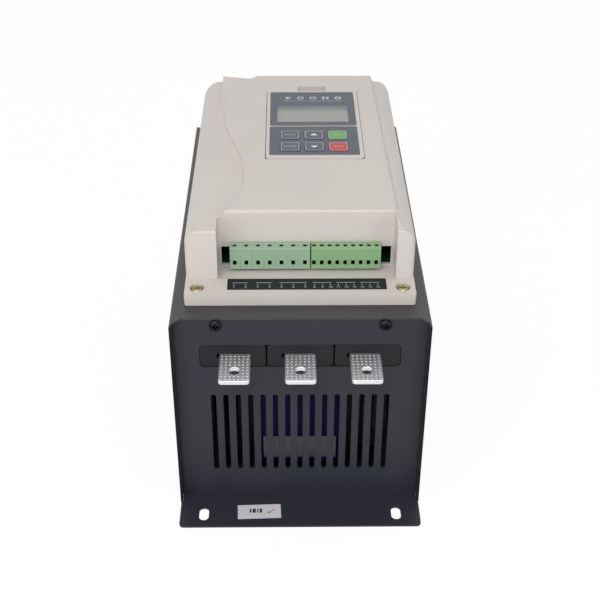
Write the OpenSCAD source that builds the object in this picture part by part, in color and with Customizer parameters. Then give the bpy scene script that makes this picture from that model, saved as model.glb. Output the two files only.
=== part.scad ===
// Motor soft starter lying on its back: a folded steel chassis with six power tabs, a moulded
// front cover with a terminal bay, and a lift-out keypad. Millimetres, +Z out of the front.
// The origin is the middle of the mounting plane, and the load end faces -Y.

/* [Chassis] */
// Width over the side walls
chassis_w = 162; // [160:1:180]
// Length from cheek tip to cheek tip
chassis_l = 279; // [276:1:315]
// Height from the mounting plane to the deck
chassis_h = 148; // [146:1:170]
// Thickness of the folded steel sheet
sheet_t = 1.5; // [1:0.1:2]
// Outer radius of the folds along the deck
deck_fold_r = 2.5; // [2.2:0.1:4]
// Distance of the end panels behind the cheek tips
panel_setback = 7; // [5:0.5:9]
// Gap between an end panel and the side walls
panel_gap = 0.2; // [0.2:0.1:0.8]
// Reach of the mounting flanges past the cheek tips
flange_reach = 24; // [21:0.5:30]
// Inner radius of the fold between panel and flange
flange_fold_r = 2; // [1:0.5:4]
// Radius of the flange corners
flange_corner_r = 3; // [1:0.5:6]

/* [Mounting slots] */
// Distance between the left and right slots
slot_span = 129; // [110:1:134]
// Slot centre past the cheek tip
slot_offset = 12.5; // [11:0.5:14]
// Slot width
slot_w = 6.5; // [5:0.5:9]
// Slot length, end to end
slot_l = 12; // [10:0.5:14]

/* [Vents] */
// Number of vent slots in each end panel
vent_count = 15; // [5:2:15]
// Distance between vent slots
vent_pitch = 8; // [6:0.5:9]
// Width of a vent slot
vent_w = 3.5; // [2:0.5:4.5]
// Lower end of the vent slots
vent_low = 24; // [18:0.5:40]
// Upper end of the vent slots
vent_high = 88; // [60:1:95]

/* [Panel screws] */
// Distance of the panel screws from the middle
panel_screw_x = 52.7; // [40:0.5:60]
// Panel screws below the deck
panel_screw_drop = 5; // [5:0.5:8]
// Head diameter of the panel screws
panel_screw_d = 7.5; // [6:0.5:9]

/* [Power terminals] */
// Distance between the power tabs
pole_pitch = 41; // [39:0.5:43]
// Width of a power bar
bar_w = 19.5; // [14:0.5:20]
// Thickness of a power bar
bar_t = 3; // [2:0.5:4]
// Height of the upper face of the power bars
bar_top = 120; // [117:1:122]
// Reach of the tabs past the cheek tips
tab_reach = 20; // [18:0.5:23]
// Diameter of the bolt hole in a tab
tab_hole_d = 7; // [5:0.5:9]
// Hole centre behind the end of the tab
tab_hole_inset = 10.5; // [9:0.5:12]
// Corner radius of the tabs
tab_corner_r = 2.5; // [1:0.5:4]
// Width of one terminal insulator
insulator_w = 41.6; // [40:0.2:44]
// Height of a terminal insulator
insulator_h = 17; // [14:0.2:18]
// Gap between neighbouring insulators
insulator_gap = 1; // [0.6:0.2:2]
// Corner radius of an insulator
insulator_r = 3; // [1:0.5:4]
// Insulator face behind the panel face
insulator_recess = 0.6; // [0.4:0.2:1.2]

/* [Front cover] */
// Width of the moulded cover
cover_w = 145.2; // [142:0.2:150]
// Length of the raised body of the cover
body_l = 231; // [227:0.5:235]
// Wall of the moulding
cover_wall = 2.5; // [2:0.1:3]
// Foot front behind the cheek tip
foot_setback = 21; // [16:0.5:26]
// Depth of the foot in front of the body
foot_depth = 20; // [18:0.5:24]
// Height of the foot above the deck
foot_h = 7.5; // [7:0.5:9]
// Height of the shoulders above the deck
shoulder_h = 42; // [40:0.5:50]
// Height of the bonnet above the shoulders
bonnet_rise = 4.4; // [4.4:0.2:7]
// Fillet along the two sides of the shoulders
side_fillet = 10; // [6:0.5:12]
// Fillet along the front of the shoulders
front_fillet = 1.6; // [1:0.2:6]
// Fillet along the far end of the shoulders
far_fillet = 1.6; // [1:0.2:7]
// Radius of the upright corners of the cover
cover_corner_r = 4; // [3.5:0.5:6]
// Radius of the concave foot of the bonnet's edge
bonnet_foot_r = 1.8; // [1:0.2:1.8]
// Radius of the convex top of the bonnet's edge
bonnet_edge_r = 2.4; // [1.2:0.2:2.4]

/* [Bonnet crease] */
// Right edge of the bonnet at the far end
bonnet_right = 58.4; // [55:0.2:59]
// Right edge of the bonnet at the bay
bonnet_near_right = 62.4; // [62:0.2:63]
// Crease at its waist, left of the middle
waist_x = 37.3; // [34:0.1:40]
// Waist behind the front of the shoulders
waist_y = 64; // [60:1:68]
// Crease at its hip, left of the middle
hip_x = 54.7; // [51:0.1:57]
// Hip behind the front of the shoulders
hip_y = 178; // [174:1:182]
// Radius of the crease from the bay to the waist
waist_front_r = 98.5; // [90:0.5:110]
// Radius of the crease from the hip to the far end
hip_far_r = 75; // [62:1:82]
// Left edge of the wing behind the hip, left of the middle
wing_x = 57.3; // [56.6:0.1:58]
// Height of the wing above the shoulders at its far left corner
wing_rise = 4.1; // [2:0.1:4.2]
// Height of the wing where it meets the crease
wing_dip = 1.4; // [0.4:0.1:1.6]

/* [Terminal bay] */
// Left wall of the bay, left of the middle
bay_left = 52.4; // [51:0.2:54]
// Right wall of the bay
bay_right = 61; // [60:0.2:62]
// Depth of the bay behind the front of the shoulders
bay_depth = 18; // [17:0.5:21]
// Floor of the bay above the deck
bay_floor_h = 5.5; // [5:0.25:6]
// Radius of the upright corners in the bay
bay_corner_r = 3; // [1:0.5:5]
// Gap between the ends of the window and the bay walls
window_inset = 2; // [1.5:0.1:3.5]
// Upper edge of the window above the deck
window_h = 20; // [19.5:0.5:22]
// Lower edge of the window above the bay floor
window_sill = 0.7; // [0.7:0.1:2.6]

/* [Terminal plugs] */
// Distance between the ways of the left plug
relay_pitch = 7.5; // [7:0.1:7.6]
// Ways of the left plug
relay_ways = 7; // [3:1:7]
// Distance between the ways of the right plug
signal_pitch = 5; // [4.5:0.1:5.1]
// Ways of the right plug
signal_ways = 9; // [3:1:9]
// Left edge of the left plug from the bay's left wall
plug_inset = 7.3; // [6:0.1:8]
// Gap between the two plugs
plug_gap = 0.3; // [0.3:0.1:0.6]
// Depth of a plug in front of its tongue
plug_depth = 7.6; // [7:0.2:9]
// Height of a plug
plug_h = 15.8; // [15:0.2:16.6]
// Plug above the bay floor
plug_lift = 2.9; // [2.6:0.1:3.2]
// Width of a square wire entry
wire_entry = 2.3; // [1.8:0.1:2.6]

/* [Cover fasteners and legend] */
// Distance of the cover screws from the middle
cover_screw_x = 64.8; // [63:0.2:65]
// Cover screws behind the foot front
cover_screw_y = 9; // [8:0.5:11]
// Diameter of the counterbores
counterbore_d = 9.5; // [8.5:0.5:10]
// Depth of the counterbores
counterbore_depth = 3; // [2.6:0.2:3.6]
// Width of the terminal legend
legend_w = 100.4; // [80:0.2:102]
// Depth of the terminal legend
legend_d = 12.4; // [8:0.2:13]

/* [Keypad] */
// Width of the keypad
keypad_w = 67.5; // [67:0.5:70]
// Length of the keypad
keypad_l = 110.5; // [109:0.5:112]
// Middle of the keypad, right of the cover's middle
keypad_x = 11.25; // [10:0.25:13]
// Near edge of the keypad behind the front of the shoulders
keypad_y = 89.2; // [86:0.2:91]
// Gap between keypad and pocket
keypad_gap = 0.4; // [0.3:0.1:1]
// Keypad above the bonnet
keypad_proud = 0.8; // [0.4:0.1:2]
// Depth of the keypad's pocket
pocket_depth = 16; // [15:0.5:18]
// Wall of the keypad frame
frame_wall = 2; // [1.6:0.1:2.4]
// Thickness of the keypad's face plate
plate_t = 2.2; // [1.8:0.1:2.6]
// Width of the printed films
film_w = 62.2; // [60:0.2:63]
// Thickness of the printed films
film_t = 0.4; // [0.3:0.05:0.5]
// Length of the film around the keys
key_film_l = 45; // [42:0.5:46]
// Length of the film around the display
display_film_l = 58.4; // [54:0.2:59]
// Near edge of the key film behind the keypad's edge
film_inset = 4.1; // [3:0.1:5]
// Width of the display window
window_w = 52; // [46:0.5:54]
// Length of the display window
window_l = 27; // [24:0.5:30]
// Near edge of the window behind the keypad's edge
window_y = 56.8; // [55:0.2:59]

/* [Keys] */
// Width of a key
key_w = 13.5; // [10:0.25:14]
// Length of a key
key_l = 13; // [10:0.25:14]
// Corner radius of a key
key_r = 2.5; // [1:0.25:4]
// Distance between the columns of keys
key_pitch_x = 16.75; // [16.5:0.25:18]
// Distance between the rows of keys
key_pitch_y = 18.3; // [16.5:0.1:18.5]
// Near row of keys behind the keypad's edge
key_y = 16.5; // [16:0.1:18]
// Clearance round a key
key_gap = 0.3; // [0.2:0.05:0.5]
// Key above the film
key_proud = 0.5; // [0.3:0.1:0.8]
// Travel of a key
key_travel = 0.5; // [0.3:0.1:0.8]

/* [Power parts] */
// Width of a thyristor module
module_w = 34; // [28:1:36]
// Length of a thyristor module
module_l = 94; // [84:1:100]
// Height of a thyristor module
module_h = 30; // [26:1:34]
// Distance from a module's middle to its terminals
module_terminal = 32; // [28:1:34]
// Width of the heat sink
sink_w = 128; // [126:1:140]
// Length of the heat sink
sink_l = 150; // [140:1:160]
// Thickness of the heat sink's base
sink_base = 12; // [8:0.5:16]
// Number of fins
fin_count = 17; // [9:1:21]
// Thickness of a fin
fin_t = 2.4; // [1.6:0.1:3]
// Width of a current transformer
ct_w = 36; // [30:1:38]
// Thickness of a current transformer
ct_t = 20; // [12:1:22]

/* [Control transformer] */
// Width of the laminated core
core_w = 80; // [70:1:84]
// Height of the laminated core
core_h = 92; // [86:1:94]
// Thickness of the laminated core
core_t = 24; // [20:1:28]
// Width of the core's middle leg
core_leg = 22; // [18:1:26]
// Bulge of the winding in front of the core
winding_bulge = 12; // [8:1:13]
// Winding behind the end panel
winding_gap = 13; // [12:0.5:16]
// Height of the band on the winding
band_h = 18; // [8:1:24]
// Lower edge of the band above the mounting plane
band_low = 22; // [20:1:40]

/* [Control board] */
// Width of the control board
board_w = 124; // [116:1:126]
// Length of the control board
board_l = 130; // [120:1:140]
// Thickness of the boards
board_t = 1.6; // [1:0.1:2]
// Height of the board's standoffs
standoff_h = 4.4; // [4:0.1:5]

/* [Sticker] */
// Width of the paper sticker
sticker_w = 29; // [16:1:36]
// Depth of the paper sticker
sticker_d = 13; // [8:0.5:15]
// Middle of the sticker, left of the middle
sticker_x = 27.4; // [0:0.2:40]

/* [Hidden] */
$fn = 48;
over = 1;                       // how far a cut runs past the faces it opens
hair = 0.4;                     // small clearance between pieces of one body
tip_y = chassis_l / 2;
panel_y = tip_y - panel_setback;
panel_in = panel_y - sheet_t;
flange_y = tip_y + flange_reach;
flange_half = chassis_w / 2 - 0.5;
flange_gap = 0.3;
side_in = chassis_w / 2 - sheet_t;
panel_half = side_in - panel_gap;
deck_under = chassis_h - sheet_t;

// Panel screws, the deck's tabs behind the panels, and their holes
screw_shank = 3.6;
screw_hole = 4;
screw_head_h = 2.6;
panel_screw_z = chassis_h - panel_screw_drop;
deck_tab_w = 14;
deck_tab_h = 12;
panel_screw_l = 10;

// Power terminals
bar_low = bar_top - bar_t;
insulator_pitch = insulator_w + insulator_gap;
insulator_z = bar_top - 1;
insulator_deep = 14;
insulator_lip = 3;
insulator_lip_t = 2.5;
bar_slot_w = bar_w + 2.4;
bar_slot_h = bar_t + hair;
bar_slot_shift = 0.9;
cutout_gap = 0.2;
cutout_w = 2 * insulator_pitch + insulator_w + 2 * cutout_gap;
cutout_h = insulator_h + 2 * cutout_gap;

// Control transformer, from the load end panel inwards
winding_y = -panel_in + winding_gap;
core_y = winding_y + winding_bulge + core_t / 2;
core_low = sheet_t + 2;
core_yoke = core_leg / 2 + 3;
core_side = core_leg / 2;
winding_half = core_w / 2 - core_side - hair;
winding_low = core_low + core_yoke + hair;
winding_high = core_low + core_h - core_yoke - hair;
winding_back = core_y + core_t / 2 + winding_bulge;
strap_t = 2;
strap_foot = 14;
strap_w = core_t - 6;
strap_screw_d = 7;
strap_screw_h = 2.4;
winding_r = 4;
band_t = 0.3;

// Heat sink and modules, behind the transformer
sink_gap = 6;
sink_y = winding_back + sink_gap;
sink_top = bar_low - module_h;
module_y = sink_y + sink_l / 2;
module_foot = 6;
terminal_screw_d = 9;
terminal_hole_d = 6;
ct_y = -panel_in + insulator_deep + 4;
ct_h = ct_w;

// Front cover
foot_y = -tip_y + foot_setback;
shoulder_y = foot_y + foot_depth;
far_y = shoulder_y + body_l;
foot_top = chassis_h + foot_h;
shoulder_top = chassis_h + shoulder_h;
bonnet_top = shoulder_top + bonnet_rise;
bay_back = shoulder_y + bay_depth;
bay_floor = chassis_h + bay_floor_h;
window_low = bay_floor + window_sill;
window_top = chassis_h + window_h;
cover_screw_at = foot_y + cover_screw_y;
boss_d = counterbore_d + 2.4;
cover_hole = 4.4;
cover_screw_head = counterbore_d - 2;
cover_screw_head_h = counterbore_depth - 0.3;
cover_screw_seat = foot_top - counterbore_depth;
cover_screw_l = cover_screw_seat - chassis_h + 10;
legend_t = 0.2;
legend_y = foot_y + foot_depth / 2 + 2.6;
legend_x = (bay_right - bay_left) / 2;
sticker_t = 0.2;
sticker_turn = 2;
sticker_y = -tip_y - slot_offset + 1.7;

// Control board
board_low = chassis_h + standoff_h;
board_top = board_low + board_t;
board_y = bay_back + cover_wall + 0.5;
standoff_d = 6;
standoff_x = board_w / 2 - 6;
standoff_y = 22;
standoff_head_h = 2;
deck_opening_w = 88;
deck_opening_l = 96;
sunk = 0.2;                     // how far a part is let into the board below it
relay_can = [15, 28, 15];
relay_can_at = [-44, 22];
relay_can_pitch = 20;
chip = [18, 18, 3];
chip_at = [24, 44];
capacitor_d = 16;
capacitor_h = 18;
capacitor_at = [-40, -24];
capacitor_pitch = 22;

// Plugs and headers
plug_low = bay_floor + plug_lift;
plug_top = plug_low + plug_h;
plug_back = bay_back - 0.3;
plug_front = plug_back - plug_depth;
tongue_l = 11;
tongue_h = 7.4;
tongue_low = plug_low + 1.2;
tongue_inset = 2;
shroud_wall = 1.2;
relay_left = -bay_left + plug_inset;
relay_w = relay_ways * relay_pitch - plug_gap;
signal_left = relay_left + relay_ways * relay_pitch;
signal_w = signal_ways * signal_pitch - plug_gap;
entry_z = plug_low + 4.6;
entry_deep = 6;
clamp_inset = 3.2;
clamp_deep = 6.4;
clamp_screw_l = 5;

// Keypad
keypad_low_y = shoulder_y + keypad_y;
pocket_floor = bonnet_top - pocket_depth;
keypad_top = bonnet_top + keypad_proud;
plate_under = keypad_top - plate_t;
film_recess = film_t + 0.1;
film_low = keypad_top - film_recess;
film_top = film_low + film_t;
key_film_y = keypad_low_y + film_inset;
film_rib = 1;
display_film_y = key_film_y + key_film_l + film_rib;
film_x = keypad_x - 0.15;
film_r = 1.5;
film_gap = 0.1;
lens_gap = 0.2;
key_x = keypad_x - 0.15;
keypad_board_top = plate_under - 7;
keypad_board_low = keypad_board_top - board_t;
display_border = 3;
switch_h = 3;
switch_w = 6;
key_stem_d = 4;
key_flange = 0.9;
key_flange_t = 1;
key_flange_top = plate_under - 0.1;
key_stem_low = keypad_board_top + switch_h + key_travel + 0.1;
latch_w = 21;
latch_l = 10.5;
latch_deep = 5;
pocket_port_w = 24;
pocket_port_l = 14;
keypad_boss_d = 4.5;
keypad_boss_x = keypad_w / 2 - frame_wall - 4;
keypad_boss_y = 9;
keypad_r = 2.5;

charcoal = [0.26, 0.26, 0.27];
panel_grey = [0.21, 0.22, 0.25];
black = [0.12, 0.12, 0.13];
beige = [0.80, 0.77, 0.74];
tin = [0.78, 0.79, 0.80];
zinc = [0.80, 0.72, 0.45];
film_grey = [0.42, 0.44, 0.48];

// Extrusions of a flat outline along each axis
module along_x(x0, x1) { translate([x0, 0, 0]) rotate([90, 0, 90]) linear_extrude(x1 - x0) children(); }
module along_y(y0, y1) { translate([0, y1, 0]) rotate([90, 0, 0]) linear_extrude(y1 - y0) children(); }
module along_z(z0, z1) { translate([0, 0, z0]) linear_extrude(z1 - z0) children(); }

// Box between two corners
module box(low, high) { translate(low) cube(high - low); }

// Flat rectangle with round corners
module round_rect(low, high, r) {
    translate([low[0] + r, low[1]]) square([high[0] - low[0] - 2 * r, high[1] - low[1]]);
    translate([low[0], low[1] + r]) square([high[0] - low[0], high[1] - low[1] - 2 * r]);
    for (x = [low[0] + r, high[0] - r], y = [low[1] + r, high[1] - r]) translate([x, y]) circle(r);
}

// Flat outline standing on its base line, with its two upper corners round
module round_top(w, h, r) {
    translate([-w / 2, 0]) square([w, h - r]);
    translate([-w / 2 + r, 0]) square([w - 2 * r, h]);
    for (x = [-w / 2 + r, w / 2 - r]) translate([x, h - r]) circle(r);
}

// Slot with round ends, its length along the second axis
module slot_outline(w, l) {
    square([w, l - w], center = true);
    for (s = [-1, 1]) translate([0, s * (l - w) / 2]) circle(d = w);
}

// Pan-head screw with a cross recess, seated at z = 0 with its shank downwards
module pan_screw(head_d, head_h, shank_d, shank_l) {
    recess_w = head_d * 0.15;
    difference() {
        union() {
            cylinder(d = head_d, h = head_h * 0.55);
            translate([0, 0, head_h * 0.55]) cylinder(d1 = head_d, d2 = head_d * 0.62, h = head_h * 0.45);
        }
        for (turn = [0, 90]) rotate(turn)
            translate([-head_d * 0.28, -recess_w / 2, head_h * 0.4]) cube([head_d * 0.56, recess_w, head_h]);
    }
    translate([0, 0, -shank_l]) cylinder(d = shank_d, h = shank_l + over / 4);
}

// Chassis
module wrap_cover() {
    color(charcoal) difference() {
        union() {
            along_y(-tip_y, tip_y) difference() {
                round_top(chassis_w, chassis_h, deck_fold_r);
                translate([0, -over]) round_top(2 * side_in, deck_under + over, deck_fold_r - sheet_t);
            }
            for (s = [-1, 1], x = [-panel_screw_x, panel_screw_x]) deck_tab(x, s);
        }
        for (s = [-1, 1]) deck_cutback(s);
        for (s = [-1, 1], x = [-panel_screw_x, panel_screw_x]) translate([x, s * panel_in, panel_screw_z])
            rotate([90, 0, 0]) cylinder(d = screw_hole, h = 4 * sheet_t, center = true);
        for (x = [-cover_screw_x, cover_screw_x]) translate([x, cover_screw_at, deck_under - over])
            cylinder(d = cover_hole, h = sheet_t + 2 * over);
        translate([-deck_opening_w / 2, board_y + (board_l - deck_opening_l) / 2, deck_under - over])
            cube([deck_opening_w, deck_opening_l, sheet_t + 2 * over]);
    }
}

// Tab folded down from the deck behind an end panel
module deck_tab(x, s) {
    y = s * (panel_in - sheet_t / 2);
    box([x - deck_tab_w / 2, y - sheet_t / 2, deck_under - deck_tab_h],
        [x + deck_tab_w / 2, y + sheet_t / 2, deck_under + sheet_t / 2]);
}

// Deck edge set back to an end panel, with diagonals out to the cheek tips
module deck_cutback(s) {
    inner = chassis_w / 2 - panel_setback;
    along_z(chassis_h - deck_fold_r, chassis_h + over) polygon([
        [-inner, s * panel_y], [inner, s * panel_y],
        [chassis_w / 2, s * tip_y], [chassis_w / 2, s * (tip_y + over)],
        [-chassis_w / 2, s * (tip_y + over)], [-chassis_w / 2, s * tip_y]]);
}

// End panel at the load end, folded outwards into the mounting flange
module end_panel() {
    fold_y = -panel_y - flange_fold_r;
    fold_z = sheet_t + flange_fold_r;
    difference() {
        intersection() {
            along_x(-flange_half, flange_half) union() {
                translate([-panel_y, fold_z]) square([sheet_t, deck_under - panel_gap - fold_z]);
                translate([-flange_y, 0]) square([flange_y + fold_y, sheet_t]);
                translate([fold_y, fold_z]) fold_outline(flange_fold_r);
            }
            along_z(-over, chassis_h) flange_plan();
        }
        for (i = [0 : vent_count - 1]) translate([(i - (vent_count - 1) / 2) * vent_pitch, 0, 0])
            along_y(-panel_y - over, -panel_in + over) translate([0, (vent_low + vent_high) / 2])
                slot_outline(vent_w, vent_high - vent_low);
        along_y(-panel_y - over, -panel_in + over) translate([0, insulator_z])
            round_rect([-cutout_w / 2, -cutout_h / 2], [cutout_w / 2, cutout_h / 2], insulator_r);
        for (x = [-panel_screw_x, panel_screw_x]) translate([x, -panel_y - over, panel_screw_z])
            rotate([-90, 0, 0]) cylinder(d = screw_hole, h = sheet_t + 2 * over);
        for (x = [-slot_span / 2, slot_span / 2]) translate([x, -tip_y - slot_offset, 0])
            along_z(-over, sheet_t + over) slot_outline(slot_w, slot_l);
    }
}

// Quarter of a folded sheet, from the flange up into the panel
module fold_outline(r) {
    intersection() {
        difference() {
            circle(r + sheet_t);
            circle(r);
        }
        translate([0, -r - sheet_t]) square(r + sheet_t);
    }
}

// Plan of the end panel: narrow between the cheeks, wide in front of them, with two round corners
module flange_plan() {
    translate([-panel_half, -tip_y - flange_gap - over]) square([2 * panel_half, tip_y]);
    translate([0, -tip_y - flange_gap]) rotate(180)
        round_top(2 * flange_half, flange_reach - flange_gap, flange_corner_r);
}

module load_end_panel() { color(panel_grey) end_panel(); }
module line_end_panel() { color(panel_grey) mirror([0, 1, 0]) end_panel(); }

module back_plate() {
    lip_h = 14;
    lip_end = 4;
    color(charcoal) {
        box([-side_in, -panel_in, 0], [side_in, panel_in, sheet_t]);
        for (x = [-side_in, side_in - sheet_t])
            box([x, -panel_in + lip_end, sheet_t / 2], [x + sheet_t, panel_in - lip_end, lip_h]);
    }
}

module panel_screws() {
    color(black) for (s = [-1, 1], x = [-panel_screw_x, panel_screw_x])
        translate([x, s * panel_y, panel_screw_z]) rotate([-s * 90, 0, 0])
            pan_screw(panel_screw_d, screw_head_h, screw_shank, panel_screw_l);
}

// Power terminals at the load end; the line end mirrors them
module insulator(pole) {
    x = pole * insulator_pitch;
    slot_x = pole * pole_pitch - bar_slot_shift;
    w = insulator_w / 2;
    color(black) difference() {
        union() {
            along_y(-panel_y + insulator_recess, -panel_in + insulator_deep) translate([x, insulator_z])
                round_rect([-w, -insulator_h / 2], [w, insulator_h / 2], insulator_r);
            box([x - w, -panel_in, insulator_z - insulator_h / 2 - insulator_lip],
                [x + w, -panel_in + insulator_lip_t, insulator_z + insulator_h / 2 + insulator_lip]);
        }
        box([slot_x - bar_slot_w / 2, -panel_y - over, bar_low],
            [slot_x + bar_slot_w / 2, -panel_in + insulator_deep + over, bar_low + bar_slot_h]);
    }
}

module load_busbar(pole) {
    bar_end = module_y - module_terminal + bar_w / 2;
    color(tin) translate([pole * pole_pitch, 0, 0]) busbar(bar_end);
}

module line_busbar(pole) {
    bar_end = -(module_y + module_terminal) + bar_w / 2;
    color(tin) translate([pole * pole_pitch, 0, 0]) mirror([0, 1, 0]) busbar(bar_end);
}

// Flat bar from its tab in front of the panel to a module terminal
module busbar(bar_end) {
    tab_end = -tip_y - tab_reach;
    difference() {
        along_z(bar_low, bar_top)
            round_rect([-bar_w / 2, tab_end], [bar_w / 2, bar_end], tab_corner_r);
        translate([0, tab_end + tab_hole_inset, bar_low - over])
            cylinder(d = tab_hole_d, h = bar_t + 2 * over);
        translate([0, bar_end - bar_w / 2, bar_low - over])
            cylinder(d = terminal_hole_d, h = bar_t + 2 * over);
    }
}

// Power parts inside
module heat_sink() {
    fin_step = (sink_w - fin_t) / (fin_count - 1);
    color([0.66, 0.67, 0.68]) along_y(sink_y, sink_y + sink_l) {
        translate([-sink_w / 2, sink_top - sink_base]) square([sink_w, sink_base]);
        for (i = [0 : fin_count - 1]) translate([-sink_w / 2 + i * fin_step, sheet_t])
            square([fin_t, sink_top - sheet_t - sink_base / 2]);
    }
}

module thyristor_module(pole) {
    x = pole * pole_pitch;
    y = module_y;
    w = module_w / 2;
    color(black) difference() {
        union() {
            box([x - w, y - module_l / 2, sink_top], [x + w, y + module_l / 2, sink_top + module_foot]);
            box([x - w, y - module_terminal - bar_w / 2, sink_top + module_foot / 2],
                [x + w, y + module_terminal + bar_w / 2, bar_low]);
        }
        for (s = [-1, 1]) translate([x, y + s * module_terminal, bar_low - module_h / 2])
            cylinder(d = terminal_hole_d, h = module_h);
    }
}

module terminal_screws() {
    color(zinc) for (pole = [-1 : 1], s = [-1, 1])
        translate([pole * pole_pitch, module_y + s * module_terminal, bar_top])
            pan_screw(terminal_screw_d, screw_head_h, terminal_hole_d - 2 * hair, bar_t + module_h / 3);
}

module current_transformer(pole) {
    mid = (bar_low + bar_top) / 2;
    color([0.10, 0.16, 0.32]) translate([pole * pole_pitch, 0, mid]) difference() {
        along_y(ct_y, ct_y + ct_t) difference() {
            round_rect([-ct_w / 2, -ct_h / 2], [ct_w / 2, ct_h / 2], ct_w / 6);
            translate([-bar_w / 2 - 1, -bar_t]) square([bar_w + 2, bar_t * 1.5]);
        }
    }
}

// Control transformer behind the vents of the load end
module transformer_core() {
    window_w = (core_w - core_leg) / 2 - core_side;
    color([0.30, 0.30, 0.31]) along_y(core_y - core_t / 2, core_y + core_t / 2) difference() {
        translate([-core_w / 2, core_low]) square([core_w, core_h]);
        for (x = [-core_w / 2 + core_side, core_leg / 2])
            translate([x, core_low + core_yoke]) square([window_w, core_h - 2 * core_yoke]);
    }
}

module transformer_winding() {
    core_room = core_t + 2 * hair;
    color([0.14, 0.12, 0.36]) difference() {
        along_z(winding_low, winding_high)
            round_rect([-winding_half, winding_y], [winding_half, winding_back], winding_r);
        box([-core_leg / 2 - hair, core_y - core_room / 2, winding_low - over],
            [core_leg / 2 + hair, core_y + core_room / 2, winding_high + over]);
    }
}

module winding_band() {
    color([0.55, 0.56, 0.60]) box([-winding_half + winding_r, winding_y - band_t, band_low],
        [winding_half - winding_r, winding_y, band_low + band_h]);
}

// Steel strap over the core with a foot on each side
module transformer_strap() {
    top = core_low + core_h;
    side = core_w / 2;
    color([0.62, 0.63, 0.64]) difference() {
        along_y(core_y - strap_w / 2, core_y + strap_w / 2) union() {
            translate([-side - strap_t, top]) square([core_w + 2 * strap_t, strap_t]);
            for (x = [-side - strap_t, side]) translate([x, sheet_t]) square([strap_t, top - sheet_t]);
            for (x = [-side - strap_foot, side]) translate([x, sheet_t]) square([strap_foot, strap_t]);
            translate([-side, sheet_t]) square([core_w, core_low - sheet_t]);
        }
        for (s = [-1, 1]) translate([s * (side + strap_foot / 2 + 1), core_y, 0])
            cylinder(d = screw_hole, h = core_low + over);
    }
}

module transformer_screws() {
    color(zinc) for (s = [-1, 1])
        translate([s * (core_w / 2 + strap_foot / 2 + 1), core_y, sheet_t + strap_t])
            pan_screw(strap_screw_d, strap_screw_h, screw_shank, strap_t);
}

// Control board on the deck
module control_board() {
    y0 = board_y;
    y1 = board_y + board_l;
    color([0.10, 0.34, 0.20]) difference() {
        union() {
            box([-board_w / 2, y0, board_low], [board_w / 2, y1, board_top]);
            translate([0, 0, board_top - sunk]) {
                for (i = [0 : 2]) translate([relay_can_at[0] + i * relay_can_pitch, y0 + relay_can_at[1], 0])
                    cube(relay_can);
                translate([chip_at[0], y0 + chip_at[1], 0]) cube(chip);
                for (i = [0, 1]) translate([capacitor_at[0] + i * capacitor_pitch, y1 + capacitor_at[1], 0])
                    cylinder(d = capacitor_d, h = capacitor_h);
            }
        }
        for (x = [-1, 1], y = [y0, y1]) standoff_place(x, y) translate([0, 0, board_low - over])
            cylinder(d = screw_shank, h = board_t + 2 * over);
    }
}

// Place of one standoff near a corner of the board
module standoff_place(x, y) {
    inward = y > board_y ? -standoff_y : standoff_y;
    translate([x * standoff_x, y + inward, 0]) children();
}

module board_standoffs() {
    color(zinc) for (x = [-1, 1], y = [board_y, board_y + board_l]) standoff_place(x, y) {
        translate([0, 0, chassis_h]) cylinder(d = standoff_d, h = standoff_h, $fn = 6);
        translate([0, 0, board_top]) pan_screw(standoff_d, standoff_head_h, screw_shank - 2 * hair, board_t);
    }
}

// Shrouded header on the board that a plug's tongue goes into
module header(left, w) {
    front = board_y;
    back = plug_back + tongue_l + hair + shroud_wall;
    x0 = left + tongue_inset;
    x1 = left + w - tongue_inset;
    difference() {
        box([x0 - hair - shroud_wall, front, board_top],
            [x1 + hair + shroud_wall, back, tongue_low + tongue_h + hair + shroud_wall]);
        box([x0 - hair, front - over, tongue_low - hair],
            [x1 + hair, back - shroud_wall, tongue_low + tongue_h + hair]);
    }
}

module relay_header() { color([0.30, 0.55, 0.40]) header(relay_left, relay_w); }
module signal_header() { color([0.35, 0.58, 0.32]) header(signal_left, signal_w); }

// Middle of one way of a plug
function way_x(left, pitch, i) = left + (i + 0.5) * pitch - plug_gap / 2;

// Terminal plug: body with a bevelled front edge, a tongue, square wire entries and clamp wells
module plug(left, w, pitch, ways) {
    bevel = 1.2;
    difference() {
        union() {
            along_x(left, left + w) polygon([
                [plug_front, plug_low], [plug_back, plug_low], [plug_back, plug_top],
                [plug_front + bevel, plug_top], [plug_front, plug_top - bevel]]);
            box([left + tongue_inset, plug_back - over, tongue_low],
                [left + w - tongue_inset, plug_back + tongue_l, tongue_low + tongue_h]);
        }
        for (i = [0 : ways - 1]) {
            translate([way_x(left, pitch, i) - wire_entry / 2, plug_front - over, entry_z - wire_entry / 2])
                cube([wire_entry, entry_deep + over, wire_entry]);
            translate([way_x(left, pitch, i), plug_front + clamp_inset, plug_top - clamp_deep])
                cylinder(d = pitch * 0.56, h = clamp_deep + over);
        }
    }
}

// Slotted clamp screws at the bottom of the wells
module clamp_screws(left, pitch, ways) {
    d = pitch * 0.56 - hair;
    color(tin) for (i = [0 : ways - 1])
        translate([way_x(left, pitch, i), plug_front + clamp_inset, plug_top - clamp_deep]) difference() {
            cylinder(d = d, h = clamp_screw_l);
            translate([-d, -d * 0.12, clamp_screw_l - 0.8]) cube([2 * d, d * 0.24, over]);
        }
}

module relay_plug() { color([0.50, 0.68, 0.54]) plug(relay_left, relay_w, relay_pitch, relay_ways); }
module signal_plug() { color([0.48, 0.68, 0.42]) plug(signal_left, signal_w, signal_pitch, signal_ways); }
module relay_clamp_screws() { clamp_screws(relay_left, relay_pitch, relay_ways); }
module signal_clamp_screws() { clamp_screws(signal_left, signal_pitch, signal_ways); }

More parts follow.
